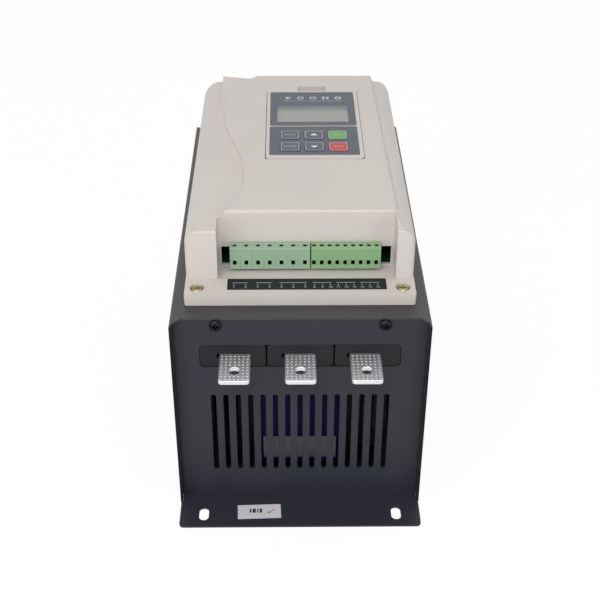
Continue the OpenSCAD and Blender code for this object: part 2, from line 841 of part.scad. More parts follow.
// Foot of the cover, drawn in by t on each side and from above
module foot_form(t) {
    half = cover_w / 2 - t;
    r = max(cover_corner_r - t, 0.5);
    along_z(t > 0 ? chassis_h - over : chassis_h, foot_top - t)
        round_rect([-half, foot_y + t], [half, shoulder_y + 4 * cover_corner_r], r);
}

// Raised body of the cover with its fillets, drawn in by t
module body_form(t) {
    half = cover_w / 2 - t;
    low = t > 0 ? chassis_h - over : chassis_h;
    y0 = shoulder_y + t;
    y1 = far_y - t;
    intersection() {
        translate([0, 0, low]) along_y(y0 - over, y1 + over)
            round_top(2 * half, shoulder_top - t - low, side_fillet - t);
        along_x(-half - over, half + over) side_outline(y0, y1, low, shoulder_top - t, t);
        along_z(low - over, shoulder_top + over) round_rect([-half, y0], [half, y1], cover_corner_r - t);
    }
}

// Side view of the body with its front and far fillets
module side_outline(y0, y1, z0, z1, t) {
    rf = max(front_fillet - t, hair);
    rb = max(far_fillet - t, hair);
    translate([y0, z0]) square([y1 - y0, z1 - z0 - max(rf, rb)]);
    translate([y0 + rf, z0]) square([y1 - y0 - rf - rb, z1 - z0]);
    translate([y0, z0]) square([rf + over, z1 - z0 - rf]);
    translate([y0 + rf, z1 - rf]) circle(rf);
    translate([y1 - rb, z1 - rb]) circle(rb);
}

// Points of an arc from angle a0 to a1
function arc(cx, cy, r, a0, a1, n = 9) =
    [for (i = [0 : n]) let (a = a0 + (a1 - a0) * i / n) [cx + r * cos(a), cy + r * sin(a)]];

// Bonnet's ends against the bay and the far end, and the wing's start before the hip
bay_lap = 0.3;
end_gap = 0.4;
wing_lead = 8;
ramp_brow = 0.73;                // share of the bonnet's rise at the brow of the ramp

// Plan of the bonnet drawn in by d: two tangent arcs to the waist, an S to the hip, and the far arc
waist = [-waist_x, shoulder_y + waist_y];
hip = [-hip_x, shoulder_y + hip_y];
crease_r = (pow(hip[1] - waist[1], 2) + pow(hip[0] - waist[0], 2)) / (4 * (waist[0] - hip[0]));
crease_turn = asin((hip[1] - waist[1]) / 2 / crease_r);
function bonnet_plan(d) =
    let (front = bay_back - bay_lap + max(d, 0), far = far_y - end_gap)
    concat(
        arc(waist[0] - waist_front_r, waist[1], waist_front_r + d,
            asin((front - waist[1]) / (waist_front_r + d)), 0),
        arc(waist[0] - crease_r, waist[1], crease_r + d, 2, crease_turn),
        arc(hip[0] + crease_r, hip[1], crease_r - d, 178 + crease_turn, 180),
        arc(hip[0] + hip_far_r, hip[1], hip_far_r - d, 178, 180 - asin((far - hip[1]) / (hip_far_r - d))),
        [[bonnet_right - d, far], [bonnet_near_right - d, front]]);

// Edge of the bonnet as [inset, height] pairs: a concave foot and a convex top
bonnet_edge = concat(
    [[-bonnet_foot_r, shoulder_top - far_fillet - over]],
    [for (a = [-90 : 30 : 0])
        [bonnet_foot_r * (cos(a) - 1), shoulder_top + bonnet_foot_r * (1 + sin(a))]],
    [for (a = [180 : -22.5 : 90])
        [bonnet_edge_r * (1 + cos(a)), bonnet_top + bonnet_edge_r * (sin(a) - 1)]]);

// Solid between plans stacked along the edge, closed below and above by fans of triangles
module bonnet_form() {
    rings = [for (e = bonnet_edge) [for (p = bonnet_plan(e[0])) [p[0], p[1], e[1]]]];
    n = len(rings[0]);
    last = len(rings) - 1;
    hub = [keypad_x, (bay_back + far_y) / 2];
    low_hub = n * (last + 1);
    polyhedron(
        points = concat([for (ring = rings) each ring],
            [[hub[0], hub[1], bonnet_edge[0][1]], [hub[0], hub[1], bonnet_edge[last][1]]]),
        faces = concat(
            [for (i = [0 : n - 1]) [(i + 1) % n, i, low_hub]],
            [for (i = [0 : n - 1]) [last * n + i, last * n + (i + 1) % n, low_hub + 1]],
            [for (k = [0 : last - 1], i = [0 : n - 1]) [k * n + (i + 1) % n, (k + 1) * n + i, k * n + i]],
            [for (k = [0 : last - 1], i = [0 : n - 1])
                [(k + 1) * n + (i + 1) % n, (k + 1) * n + i, k * n + (i + 1) % n]]));
}

// Wing left of the crease, rising from the hip to the far end
module wing_form() {
    near = hip[1] - wing_lead;
    far = far_y - end_gap;
    right = -hip_x + hip_far_r / 3;
    low = shoulder_top - far_fillet;
    polyhedron(
        points = [[-wing_x, near, low], [right, near, low], [right, far, low], [-wing_x, far, low],
            [-wing_x, near, shoulder_top - sunk], [right, near, shoulder_top - sunk],
            [right, far, shoulder_top + wing_dip], [-wing_x, far, shoulder_top + wing_rise]],
        faces = [[0, 1, 2, 3], [4, 5, 1, 0], [7, 6, 5], [7, 5, 4], [5, 6, 2, 1], [6, 7, 3, 2], [7, 4, 0, 3]]);
}

// Ramp on the right shoulder, from its front up to the bonnet beside the bay
module ramp_form() {
    low = shoulder_top - far_fillet;
    flat = shoulder_top - sunk;
    edge = bonnet_near_right;
    x = [edge - bonnet_edge_r, edge - bonnet_edge_r / 2, edge + bonnet_foot_r];
    top = [bonnet_top - sunk / 2, shoulder_top + bonnet_rise * ramp_brow, flat];
    y0 = shoulder_y + front_fillet;
    y1 = bay_back + over;
    polyhedron(
        points = [[x[0], y0, low], [x[2], y0, low], [x[2], y0, flat], [x[1], y0, flat], [x[0], y0, flat],
            [x[0], y1, low], [x[2], y1, low], [x[2], y1, top[2]], [x[1], y1, top[1]], [x[0], y1, top[0]]],
        faces = [[0, 4, 3, 2, 1], [5, 6, 7, 8, 9], [0, 1, 6, 5], [2, 7, 6, 1], [9, 4, 0, 5],
            [9, 8, 3], [9, 3, 4], [8, 7, 2], [8, 2, 3]]);
}

// Room of the terminal bay, widened by t
module bay_room(t, low) {
    r = bay_corner_r;
    along_z(low, bonnet_top + 2 * over) {
        translate([-bay_left - t, shoulder_y - over])
            square([bay_left + bay_right + 2 * t, bay_depth + over + t - r]);
        translate([-bay_left - t + r, shoulder_y - over])
            square([bay_left + bay_right + 2 * (t - r), bay_depth + over + t]);
        for (x = [-bay_left - t + r, bay_right + t - r]) translate([x, bay_back + t - r]) circle(r);
    }
}

// Room of the keypad, widened by t
module keypad_room(t, low) {
    half = keypad_w / 2 + keypad_gap + t;
    box([keypad_x - half, keypad_low_y - keypad_gap - t, low],
        [keypad_x + half, keypad_low_y + keypad_l + keypad_gap + t, keypad_top + over]);
}

// Finger recess behind the keypad, widened by t
module latch_room(t) {
    y = keypad_low_y + keypad_l;
    box([keypad_x - latch_w / 2 - t, y - t, bonnet_top - latch_deep - t],
        [keypad_x + latch_w / 2 + t, y + latch_l + t, keypad_top + over]);
}

module cover_screw_places() {
    for (x = [-cover_screw_x, cover_screw_x]) translate([x, cover_screw_at, 0]) children();
}

module front_cover() {
    color(beige) difference() {
        union() {
            foot_form(0);
            body_form(0);
            bonnet_form();
            wing_form();
            ramp_form();
        }
        difference() {
            union() {
                foot_form(cover_wall);
                body_form(cover_wall);
                along_z(shoulder_top - cover_wall - over, bonnet_top - cover_wall)
                    polygon(bonnet_plan(cover_wall + bonnet_edge_r / 2));
            }
            bay_room(cover_wall, bay_floor - cover_wall);
            keypad_room(cover_wall, pocket_floor - cover_wall);
            latch_room(cover_wall);
            cover_screw_places() cylinder(d = boss_d, h = foot_top);
        }
        bay_room(0, bay_floor);
        keypad_room(0, pocket_floor);
        latch_room(0);
        box([-bay_left + window_inset, bay_back - over, window_low],
            [bay_right - window_inset, bay_back + cover_wall + over, window_top]);
        translate([keypad_x, keypad_low_y + keypad_l / 2, pocket_floor])
            cube([pocket_port_w, pocket_port_l, 4 * cover_wall], center = true);
        cover_screw_places() {
            cylinder(d = cover_hole, h = foot_top);
            translate([0, 0, cover_screw_seat]) cylinder(d = counterbore_d, h = counterbore_depth + over);
        }
    }
}

module cover_screws() {
    color(zinc) cover_screw_places() translate([0, 0, cover_screw_seat])
        pan_screw(cover_screw_head, cover_screw_head_h, screw_shank, cover_screw_l);
}

module terminal_legend() {
    color(black) box([legend_x - legend_w / 2, legend_y - legend_d / 2, foot_top],
        [legend_x + legend_w / 2, legend_y + legend_d / 2, foot_top + legend_t]);
}

module flange_sticker() {
    color("white") translate([-sticker_x, sticker_y, sheet_t]) rotate(sticker_turn)
        translate([-sticker_w / 2, -sticker_d / 2, 0]) cube([sticker_w, sticker_d, sticker_t]);
}

// Keypad
module film_outline(y, l, t) {
    round_rect([film_x - film_w / 2 - t, y - t], [film_x + film_w / 2 + t, y + l + t], film_r);
}

// Places of the keys by column, -1 to 1, and row, 0 near and 1 far
module key_place(column, row) {
    translate([key_x + column * key_pitch_x, keypad_low_y + key_y + row * key_pitch_y, 0]) children();
}
module each_key() { for (column = [-1 : 1], row = [0, 1]) key_place(column, row) children(); }
module key_outline(t) {
    round_rect([-key_w / 2 - t, -key_l / 2 - t], [key_w / 2 + t, key_l / 2 + t], key_r);
}

// Display window opening, widened by t
module window_outline(t) {
    y = keypad_low_y + window_y;
    translate([film_x - window_w / 2 - t, y - t]) square([window_w + 2 * t, window_l + 2 * t]);
}

module keypad_boss_places() {
    for (x = [-1, 1], y = [keypad_boss_y, keypad_l - keypad_boss_y])
        translate([keypad_x + x * keypad_boss_x, keypad_low_y + y, 0]) children();
}

module keypad_frame() {
    half = keypad_w / 2;
    wall = frame_wall;
    color(beige) {
        difference() {
            along_z(pocket_floor, keypad_top) translate([keypad_x, keypad_low_y])
                round_rect([-half, 0], [half, keypad_l], keypad_r);
            along_z(pocket_floor - over, plate_under)
                translate([keypad_x - half + wall, keypad_low_y + wall])
                    square([keypad_w - 2 * wall, keypad_l - 2 * wall]);
            along_z(film_low, keypad_top + over) {
                film_outline(key_film_y, key_film_l, film_gap);
                film_outline(display_film_y, display_film_l, film_gap);
            }
            along_z(plate_under - over, keypad_top + over) window_outline(lens_gap);
            each_key() along_z(plate_under - over, keypad_top + over) key_outline(key_gap);
        }
        keypad_boss_places() translate([0, 0, keypad_board_top])
            cylinder(d = keypad_boss_d, h = plate_under - keypad_board_top + plate_t / 4);
    }
}

module key_film() {
    color(film_grey) along_z(film_low, film_top) difference() {
        film_outline(key_film_y, key_film_l, 0);
        each_key() key_outline(key_gap);
    }
}

module display_film() {
    color(film_grey) along_z(film_low, film_top) difference() {
        film_outline(display_film_y, display_film_l, 0);
        window_outline(lens_gap);
    }
}

module display_window() { color([0.70, 0.72, 0.70, 0.4]) along_z(plate_under, film_top) window_outline(0); }
module display_module() {
    color([0.62, 0.64, 0.60]) along_z(keypad_board_top, plate_under) window_outline(display_border);
}

module keypad_board() {
    edge = frame_wall + hair;
    color([0.10, 0.34, 0.20]) {
        box([keypad_x - keypad_w / 2 + edge, keypad_low_y + edge, keypad_board_low],
            [keypad_x + keypad_w / 2 - edge, keypad_low_y + keypad_l - edge, keypad_board_top]);
        each_key() translate([-switch_w / 2, -switch_w / 2, keypad_board_top - sunk])
            cube([switch_w, switch_w, switch_h + sunk]);
    }
}

// Key with a retaining flange under the face plate and a stem over its switch
module key(column, row, tint) {
    color(tint) key_place(column, row) {
        along_z(key_flange_top - key_flange_t / 2, film_top + key_proud) key_outline(0);
        along_z(key_flange_top - key_flange_t, key_flange_top) key_outline(key_flange);
        translate([0, 0, key_stem_low])
            cylinder(d = key_stem_d, h = key_flange_top - key_flange_t / 2 - key_stem_low);
    }
}

module key_menu() { key(-1, 1, film_grey); }
module key_enter() { key(-1, 0, film_grey); }
module key_up() { key(0, 1, film_grey); }
module key_down() { key(0, 0, film_grey); }
module key_run() { key(1, 1, [0.44, 0.67, 0.38]); }
module key_stop() { key(1, 0, [0.78, 0.27, 0.27]); }

wrap_cover();
load_end_panel();
line_end_panel();
back_plate();
panel_screws();
for (i = [1 : 3]) {
    insulator(i - 2);
    mirror([0, 1, 0]) insulator(i - 2);
    load_busbar(i - 2);
    line_busbar(i - 2);
    thyristor_module(i - 2);
    current_transformer(i - 2);
}
heat_sink();
terminal_screws();
transformer_core();
transformer_winding();
winding_band();
transformer_strap();
transformer_screws();
control_board();
board_standoffs();
relay_header();
signal_header();
relay_plug();
relay_clamp_screws();
signal_plug();
signal_clamp_screws();
front_cover();
cover_screws();
terminal_legend();
flange_sticker();
keypad_frame();
key_film();
display_film();
display_window();
display_module();
keypad_board();
key_menu();
key_enter();
key_up();
key_down();
key_run();
key_stop();
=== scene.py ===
"""Soft starter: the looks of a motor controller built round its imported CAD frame."""

import math

import bmesh
import bpy
from bpy.props import FloatProperty, FloatVectorProperty, IntProperty, PointerProperty
from bpy.types import Operator, Panel, PropertyGroup
from mathutils import Matrix, Vector


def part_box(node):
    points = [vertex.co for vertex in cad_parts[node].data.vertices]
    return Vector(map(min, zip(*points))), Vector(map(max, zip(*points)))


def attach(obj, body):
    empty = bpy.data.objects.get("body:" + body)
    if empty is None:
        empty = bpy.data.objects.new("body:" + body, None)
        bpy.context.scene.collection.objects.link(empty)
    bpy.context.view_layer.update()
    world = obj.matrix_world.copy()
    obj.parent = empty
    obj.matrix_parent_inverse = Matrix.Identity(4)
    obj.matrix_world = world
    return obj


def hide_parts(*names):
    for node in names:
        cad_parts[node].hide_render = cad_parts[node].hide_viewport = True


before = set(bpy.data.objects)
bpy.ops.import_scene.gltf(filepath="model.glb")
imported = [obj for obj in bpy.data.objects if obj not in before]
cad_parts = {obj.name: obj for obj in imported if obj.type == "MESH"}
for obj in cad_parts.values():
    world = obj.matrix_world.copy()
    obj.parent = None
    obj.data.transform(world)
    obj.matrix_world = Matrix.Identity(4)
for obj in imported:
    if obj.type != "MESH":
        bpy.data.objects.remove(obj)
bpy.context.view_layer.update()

bl_info = {
    "name": "Soft starter looks",
    "version": (1, 0, 0),
    "blender": (4, 5, 0),
    "location": "View3D > Sidebar > Soft starter",
    "description": "Models and finishes the visible pieces of a motor soft starter",
    "category": "Object",
}

MM = 0.001
# Points closer than this are one point, and places closer than this are level
MERGE, LEVEL = 2e-6, 1e-6
POLES = (1, 2, 3)
# The two ends, and the way along Y that each one's tabs point
ENDS = {"load": -1, "line": 1}
KEYS = ("menu", "enter", "up", "down", "run", "stop")
# Finish and material slot of the keys that aren't grey
KEY_TINTS = {"run": ("screen_ink_green", "key_green"), "stop": ("screen_ink_red", "key_red")}
# Ways of each terminal plug, their spacing, and the first one's place from the node's left end
PLUGS = {"relay": (7, 7.5 * MM, 3.4 * MM), "signal": (9, 5.0 * MM, 1.7 * MM)}
# What each plug's moulding stays inside its node at the left and at the right
PLUG_TRIMS = {"relay": (0.4 * MM, 0.5 * MM), "signal": (0.0, 0.2 * MM)}
# First and last way under each bracket of the legend
BRACKETS = ((0, 1), (2, 3), (4, 6), (7, 9), (10, 12), (13, 15))
# Left edge and width of each stamped bar on the sticker, in millimetres from its middle
STAMP_BARS = ((-6.5, 1.0), (-4.6, 2.2), (-1.5, 0.8), (0.2, 1.6))
# Height of the cover's shoulders, and where they start behind its foot
SHOULDER_TOP, SHOULDER_FRONT = 190 * MM, -98.5 * MM
# Each lamp's place and width in metres, and its power in watts
LAMPS = {
    "key_softbox": ((-0.25, -1.4, 1.7), 1.3, 19.8),
    "left_softbox": ((-1.2, -1.2, 0.6), 1.0, 5.5),
    "right_softbox": ((1.2, -1.2, 0.6), 1.0, 4.0),
    "back_softbox": ((0.1, 1.3, 1.6), 1.4, 3.0),
}


# Colours and nodes


def to_linear(code):
    """Linear red, green and blue of an sRGB hex colour."""
    channels = [int(code[i : i + 2], 16) / 255 for i in (1, 3, 5)]
    return tuple(c / 12.92 if c <= 0.04045 else ((c + 0.055) / 1.055) ** 2.4 for c in channels)


def per_metre(size_mm):
    """Texture scale that gives a pattern features of that size."""
    return 1 / (size_mm * MM)


def add(material, kind, values=None, links=None, **settings):
    """Adds a node with its settings, socket values and links."""
    node = material.node_tree.nodes.new(kind)
    for name, value in settings.items():
        setattr(node, name, value)
    for socket, value in (values or {}).items():
        node.inputs[socket].default_value = value
    for socket, source in (links or {}).items():
        material.node_tree.links.new(source, node.inputs[socket])
    return node


def start(name, colour, roughness, **values):
    """A new material with its shader, and the link to the Object coordinates for its patterns."""
    material = bpy.data.materials.new(name)
    material.use_nodes = True
    material.node_tree.nodes.clear()
    sockets = {"Base Color": (*colour, 1), "Roughness": roughness}
    shader = add(material, "ShaderNodeBsdfPrincipled", {**sockets, **values})
    add(material, "ShaderNodeOutputMaterial", links={"Surface": shader.outputs[0]})
    at = {"Vector": add(material, "ShaderNodeTexCoord").outputs["Object"]}
    return material, shader, at


def shade(colour, share):
    """A colour made darker or lighter."""
    return (*(c * share for c in colour), 1)


def finished(material, shader, tints=None, roughness=None, relief=None):
    """Leads patterns into a shader. The pattern comes first, then the colour with its darkest and
    lightest share, or the two roughnesses, or the depth of the relief with its strength."""
    sources = {}
    if tints:
        pattern, colour, dark, light = tints
        ends = {6: shade(colour, dark), 7: shade(colour, light)}
        mix = add(material, "ShaderNodeMix", ends, {0: pattern}, data_type="RGBA")
        sources["Base Color"] = mix.outputs[2]
    if roughness:
        pattern, smooth, rough = roughness
        ends = {"To Min": smooth, "To Max": rough}
        spread = add(material, "ShaderNodeMapRange", ends, {"Value": pattern})
        sources["Roughness"] = spread.outputs[0]
    if relief:
        pattern, depth_mm, strength = relief
        depth = {"Distance": depth_mm * MM, "Strength": strength}
        bump = add(material, "ShaderNodeBump", depth, {"Height": pattern})
        sources["Normal"] = bump.outputs[0]
    for socket, source in sources.items():
        material.node_tree.links.new(source, shader.inputs[socket])
    return material


# Materials


def powder_coat(name, colour, gloss):
    """Powder-coated steel, sprayed and baked: an even colour with a fine pebbled skin and a dull
    gloss. The real pebble is about 0.3 mm; it is drawn at 0.9 mm, so that it shows."""
    pebble_mm, pebble_depth_mm, cloud_mm = 0.9, 0.06, 45
    material, shader, at = start(name, colour, 0.45, **{"Specular IOR Level": gloss})
    pebble = add(material, "ShaderNodeTexNoise", {"Scale": per_metre(pebble_mm), "Detail": 3.0}, at)
    cloud = add(material, "ShaderNodeTexNoise", {"Scale": per_metre(cloud_mm), "Detail": 2.0}, at)
    return finished(
        material,
        shader,
        tints=(cloud.outputs[0], colour, 0.9, 1.1),
        roughness=(pebble.outputs[0], 0.36, 0.54),
        relief=(pebble.outputs[0], pebble_depth_mm, 0.6),
    )


def moulded(name, colour, roughness, grain_mm, depth_mm, gloss=0.5):
    """Injection-moulded plastic: one colour through, with the spark-eroded grain of its mould.
    The grain is drawn somewhat coarser than the real one, so that it shows."""
    flow_mm, spread = 70, 0.08
    material, shader, at = start(name, colour, roughness, IOR=1.53, **{"Specular IOR Level": gloss})
    pattern = {"Scale": per_metre(grain_mm), "Detail": 4.0, "Roughness": 0.6}
    grain = add(material, "ShaderNodeTexNoise", pattern, at)
    flow = add(material, "ShaderNodeTexNoise", {"Scale": per_metre(flow_mm), "Detail": 2.0}, at)
    return finished(
        material,
        shader,
        tints=(flow.outputs[0], colour, 0.955, 1.045),
        roughness=(grain.outputs[0], roughness - spread, roughness + spread),
        relief=(grain.outputs[0], depth_mm, 0.5),
    )


def plated(name, colour, roughness, streak_mm=0.5):
    """Plated metal, drawn or rolled before plating: bright, with fine streaks along its length."""
    streak_depth_mm, streak_stretch, cloud_mm = 0.02, 0.12, 6
    material, shader, at = start(name, colour, roughness, Metallic=1.0)
    drawn = add(material, "ShaderNodeMapping", {"Scale": (1, streak_stretch, 1)}, at)
    along = {"Vector": drawn.outputs[0]}
    streak = add(
        material, "ShaderNodeTexNoise", {"Scale": per_metre(streak_mm), "Detail": 3.0}, along
    )
    cloud = add(material, "ShaderNodeTexNoise", {"Scale": per_metre(cloud_mm), "Detail": 2.0}, at)
    return finished(
        material,
        shader,
        tints=(cloud.outputs[0], colour, 0.86, 1.06),
        roughness=(streak.outputs[0], roughness * 0.75, roughness * 1.3),
        relief=(streak.outputs[0], streak_depth_mm, 0.4),
    )


def banded(name, colour, roughness, step_mm, axis, contrast, metallic=0.0, gloss=0.5):
    """A built-up surface of equal layers, such as laminations or lapped tape: fine even lines.
    A wave texture of scale 1 turns by 20 radians a metre, so the lines are 2 pi steps apart. That
    is coarser than the real layers, so that they show."""
    line_depth_mm, radians_at_one = 0.08, 20
    material, shader, at = start(
        name, colour, roughness, Metallic=metallic, **{"Specular IOR Level": gloss}
    )
    pattern = {"Scale": per_metre(step_mm) / radians_at_one, "Distortion": 0.4, "Detail": 1.0}
    lines = add(material, "ShaderNodeTexWave", pattern, at, bands_direction=axis).outputs["Fac"]
    return finished(
        material,
        shader,
        tints=(lines, colour, 1 - contrast, 1 + contrast),
        relief=(lines, line_depth_mm, 0.7),
    )


def solder_mask(name, colour):
    """Fibreglass board under green solder mask: glossy, with the faint relief of its tracks."""
    track_mm, track_depth_mm = 9, 0.05
    material, shader, at = start(name, colour, 0.35)
    pattern = {"Scale": per_metre(track_mm), "Mortar Size": 0.06}
    tracks = add(material, "ShaderNodeTexBrick", pattern, at).outputs["Fac"]
    return finished(
        material, shader, tints=(tracks, colour, 1.0, 1.5), relief=(tracks, track_depth_mm, 0.5)
    )


def printed_film(name, colour, roughness, gloss=0.3):
    """Screen-printed polycarbonate film: an even ink behind a velvet-textured face."""
    velvet_mm, velvet_depth_mm, cloud_mm, spread = 0.6, 0.02, 25, 0.06
    material, shader, at = start(name, colour, roughness, **{"Specular IOR Level": gloss})
    velvet = add(material, "ShaderNodeTexNoise", {"Scale": per_metre(velvet_mm), "Detail": 2.0}, at)
    cloud = add(material, "ShaderNodeTexNoise", {"Scale": per_metre(cloud_mm), "Detail": 1.0}, at)
    return finished(
        material,
        shader,
        tints=(cloud.outputs[0], colour, 0.94, 1.06),
        roughness=(velvet.outputs[0], roughness - spread, roughness + spread),
        relief=(velvet.outputs[0], velvet_depth_mm, 0.4),
    )


def paper(name, colour):
    """Uncoated paper, and ink soaked into it: matt, with a faint fibre."""
    fibre_mm, fibre_depth_mm = 1.2, 0.04
    material, shader, at = start(name, colour, 0.85)
    fibre = add(material, "ShaderNodeTexNoise", {"Scale": per_metre(fibre_mm), "Detail": 5.0}, at)
    return finished(
        material,
        shader,
        tints=(fibre.outputs[0], colour, 0.93, 1.03),
        relief=(fibre.outputs[0], fibre_depth_mm, 0.5),
    )


def liquid_crystal(name, colour):
    """Reflective liquid crystal cell, switched off: silvery grey, with faint character cells."""
    character_mm = 6.4
    material, shader, at = start(name, colour, 0.3)
    pattern = {"Scale": per_metre(character_mm), "Mortar Size": 0.05}
    cell = {"Brick Width": 0.5, "Row Height": 0.9}
    grid = add(material, "ShaderNodeTexBrick", {**pattern, **cell}, at, offset=0.0)
    return finished(material, shader, tints=(grid.outputs["Fac"], colour, 1.0, 1.05))


def clear_acrylic(name, colour):
    """Clear acrylic window: glossy, and thin enough to show the display unchanged."""
    polish_mm = 12
    material, shader, at = start(name, colour, 0.12, IOR=1.49, Alpha=0.14)
    polish = add(material, "ShaderNodeTexNoise", {"Scale": per_metre(polish_mm), "Detail": 1.0}, at)
    return finished(material, shader, roughness=(polish.outputs[0], 0.06, 0.16))


def recipe(maker, colour, **values):
    """What a finish is made from. The colour is a hex code or the name of a colour setting."""
    return maker, colour, values


FINISHES = {
    "powder_coated_steel_charcoal": recipe(powder_coat, "chassis", gloss=0.5),
    "powder_coated_steel_slate": recipe(powder_coat, "panel", gloss=0.22),
    # Near-black, as painted shade on the cut edges of the side cheeks
    "powder_coated_steel_edge": recipe(powder_coat, "#141415", gloss=0.1),
    "black_oxide_steel": recipe(plated, "#26272A", roughness=0.38),
    # Near-black, as painted shade on the clamp screws and wire cages deep in the plugs
    "blued_steel": recipe(plated, "#1F2023", roughness=0.55),
    "tinned_copper": recipe(plated, "#9D9EA1", roughness=0.36),
    "tinned_copper_pressed": recipe(plated, "#BFC0C2", roughness=0.57),
    "extruded_aluminium": recipe(plated, "#A8AAAC", roughness=0.4, streak_mm=0.8),
    "yellow_zinc_plate": recipe(plated, "#B0A67C", roughness=0.38),
    # Darkened as painted shade on the transformer strap and screws inside the housing
    "zinc_plated_steel": recipe(plated, "#2F3033", roughness=0.55),
    # Darkened as painted shade on the transformer core inside the housing
    "silicon_steel_laminations": recipe(
        banded, "#212225", roughness=0.5, step_mm=0.9, axis="Y", contrast=0.35,
        metallic=0.4, gloss=0.2,
    ),
    "polyester_tape_violet": recipe(
        banded, "#0E0C46", roughness=0.4, step_mm=6.0, axis="Z", contrast=0.16, gloss=0.12
    ),
    "moulded_nylon_black": recipe(
        moulded, "#1E1F22", roughness=0.55, grain_mm=0.8, depth_mm=0.03, gloss=0.2
    ),
    "moulded_epoxy_black": recipe(moulded, "#1D1E20", roughness=0.45, grain_mm=1.0, depth_mm=0.04),
    "cast_epoxy_blue": recipe(moulded, "#1F2F57", roughness=0.3, grain_mm=2.0, depth_mm=0.03),
    "moulded_polyamide_grey_green": recipe(
        moulded, "relay_green", roughness=0.38, grain_mm=0.9, depth_mm=0.02
    ),
    "moulded_polyamide_leaf_green": recipe(
        moulded, "signal_green", roughness=0.38, grain_mm=0.9, depth_mm=0.02
    ),
    "moulded_abs_ivory": recipe(moulded, "cover", roughness=0.5, grain_mm=0.9, depth_mm=0.03),
    "solder_masked_board": recipe(solder_mask, "#0E2E1C"),
    "printed_film_black": recipe(printed_film, "#222526", roughness=0.4, gloss=0.15),
    "printed_film_slate": recipe(printed_film, "film", roughness=0.42),
    "screen_ink_white": recipe(printed_film, "#E9EAEA", roughness=0.5),
    "screen_ink_pale": recipe(printed_film, "#B9BDC4", roughness=0.5),
    "screen_ink_grey": recipe(printed_film, "#989CA5", roughness=0.5),
    "screen_ink_green": recipe(printed_film, "run_key", roughness=0.42),
    "screen_ink_red": recipe(printed_film, "stop_key", roughness=0.42),
    "kraft_paper_band": recipe(paper, "#74767C"),
    "label_paper": recipe(paper, "#D2D0D4"),
    "stamp_ink_black": recipe(paper, "#2B2B2E"),
    "pen_ink_red": recipe(paper, "#B4545C"),
    "liquid_crystal_cell": recipe(liquid_crystal, "display"),
    "clear_acrylic": recipe(clear_acrylic, "#F2F4F2"),
}


def finish_of(name):
    """The finish of that name, made when it is first asked for."""
    made = bpy.data.materials.get(name)
    if made:
        return made
    maker, colour, values = FINISHES[name]
    settings = bpy.context.scene.starter_colours
    tint = to_linear(colour) if colour.startswith("#") else getattr(settings, colour)
    return maker(name, tint, **values)


# Modelling


def deselect():
    """Leaves edit mode, with nothing selected."""
    if bpy.context.mode != "OBJECT":
        bpy.ops.object.mode_set(mode="OBJECT")
    bpy.ops.object.select_all(action="DESELECT")


def activate(piece):
    """Selects one piece alone."""
    deselect()
    piece.select_set(True)
    bpy.context.view_layer.objects.active = piece


def edit(piece):
    """Opens one piece in edit mode with nothing selected."""
    activate(piece)
    bpy.ops.object.mode_set(mode="EDIT")
    bpy.ops.mesh.select_mode(type="VERT")
    bpy.ops.mesh.select_all(action="DESELECT")


def pick_faces(piece, test):
    """Selects the faces whose middle and normal pass a test."""
    bpy.ops.mesh.select_mode(type="FACE")
    bpy.ops.mesh.select_all(action="DESELECT")
    mesh = bmesh.from_edit_mesh(piece.data)
    for face in mesh.faces:
        face.select = test(face.calc_center_median(), face.normal)
    mesh.select_flush_mode()
    bmesh.update_edit_mesh(piece.data)


def pick_edges(piece, test):
    """Selects the edges whose two ends pass a test."""
    bpy.ops.mesh.select_mode(type="EDGE")
    bpy.ops.mesh.select_all(action="DESELECT")
    mesh = bmesh.from_edit_mesh(piece.data)
    for e in mesh.edges:
        e.select = test(e.verts[0].co, e.verts[1].co)
    mesh.select_flush_mode()
    bmesh.update_edit_mesh(piece.data)


def upright(a, b):
    """True for an edge along Z."""
    return abs(a.x - b.x) < LEVEL and abs(a.y - b.y) < LEVEL


def named(name):
    """Names the new primitive and puts its place into its mesh."""
    piece = bpy.context.active_object
    piece.name = piece.data.name = name
    bpy.ops.object.transform_apply(location=True, rotation=True, scale=True)
    return piece


def block(name, low, high):
    """A box between two corners."""
    deselect()
    low, high = Vector(low), Vector(high)
    bpy.ops.mesh.primitive_cube_add(size=1, location=(low + high) / 2, scale=high - low)
    return named(name)


def rod(name, middle, radius, length, sides=32, turn=(0, 0, 0)):
    """A cylinder about its middle, along Z before its turn."""
    deselect()
    bpy.ops.mesh.primitive_cylinder_add(
        vertices=sides, radius=radius, depth=length, location=middle, rotation=turn
    )
    return named(name)


def modify(piece, kind, **settings):
    """Adds a modifier with its settings and applies it."""
    activate(piece)
    modifier = piece.modifiers.new(kind.title(), kind)
    for name, value in settings.items():
        setattr(modifier, name, value)
    bpy.ops.object.modifier_apply(modifier=modifier.name)


def soften(piece, width, segments=2, angle=38):
    """Rounds the sharp edges of a piece, and shades it smooth with its flat faces kept flat."""
    modify(
        piece,
        "BEVEL",
        width=width,
        segments=segments,
        limit_method="ANGLE",
        angle_limit=math.radians(angle),
        use_clamp_overlap=True,
        miter_outer="MITER_ARC",
    )
    activate(piece)
    bpy.ops.object.shade_smooth_by_angle(angle=math.radians(angle))
    modify(piece, "WEIGHTED_NORMAL", keep_sharp=True)


def cut(piece, tool):
    """Takes a tool's volume out of a piece, and the tool away."""
    modify(piece, "BOOLEAN", operation="DIFFERENCE", object=tool, solver="EXACT")
    bpy.data.objects.remove(tool)


def row_of(tool, count, step):
    """Repeats a tool along X."""
    modify(
        tool,
        "ARRAY",
        count=count,
        use_relative_offset=False,
        use_constant_offset=True,
        constant_offset_displace=(step, 0, 0),
    )
    return tool


def copy_of(piece, name, offset):
    """A copy with a mesh of its own, moved by an offset."""
    activate(piece)
    bpy.ops.object.duplicate(linked=False)
    made = bpy.context.active_object
    made.name = made.data.name = name
    made.data.transform(Matrix.Translation(offset))
    return made


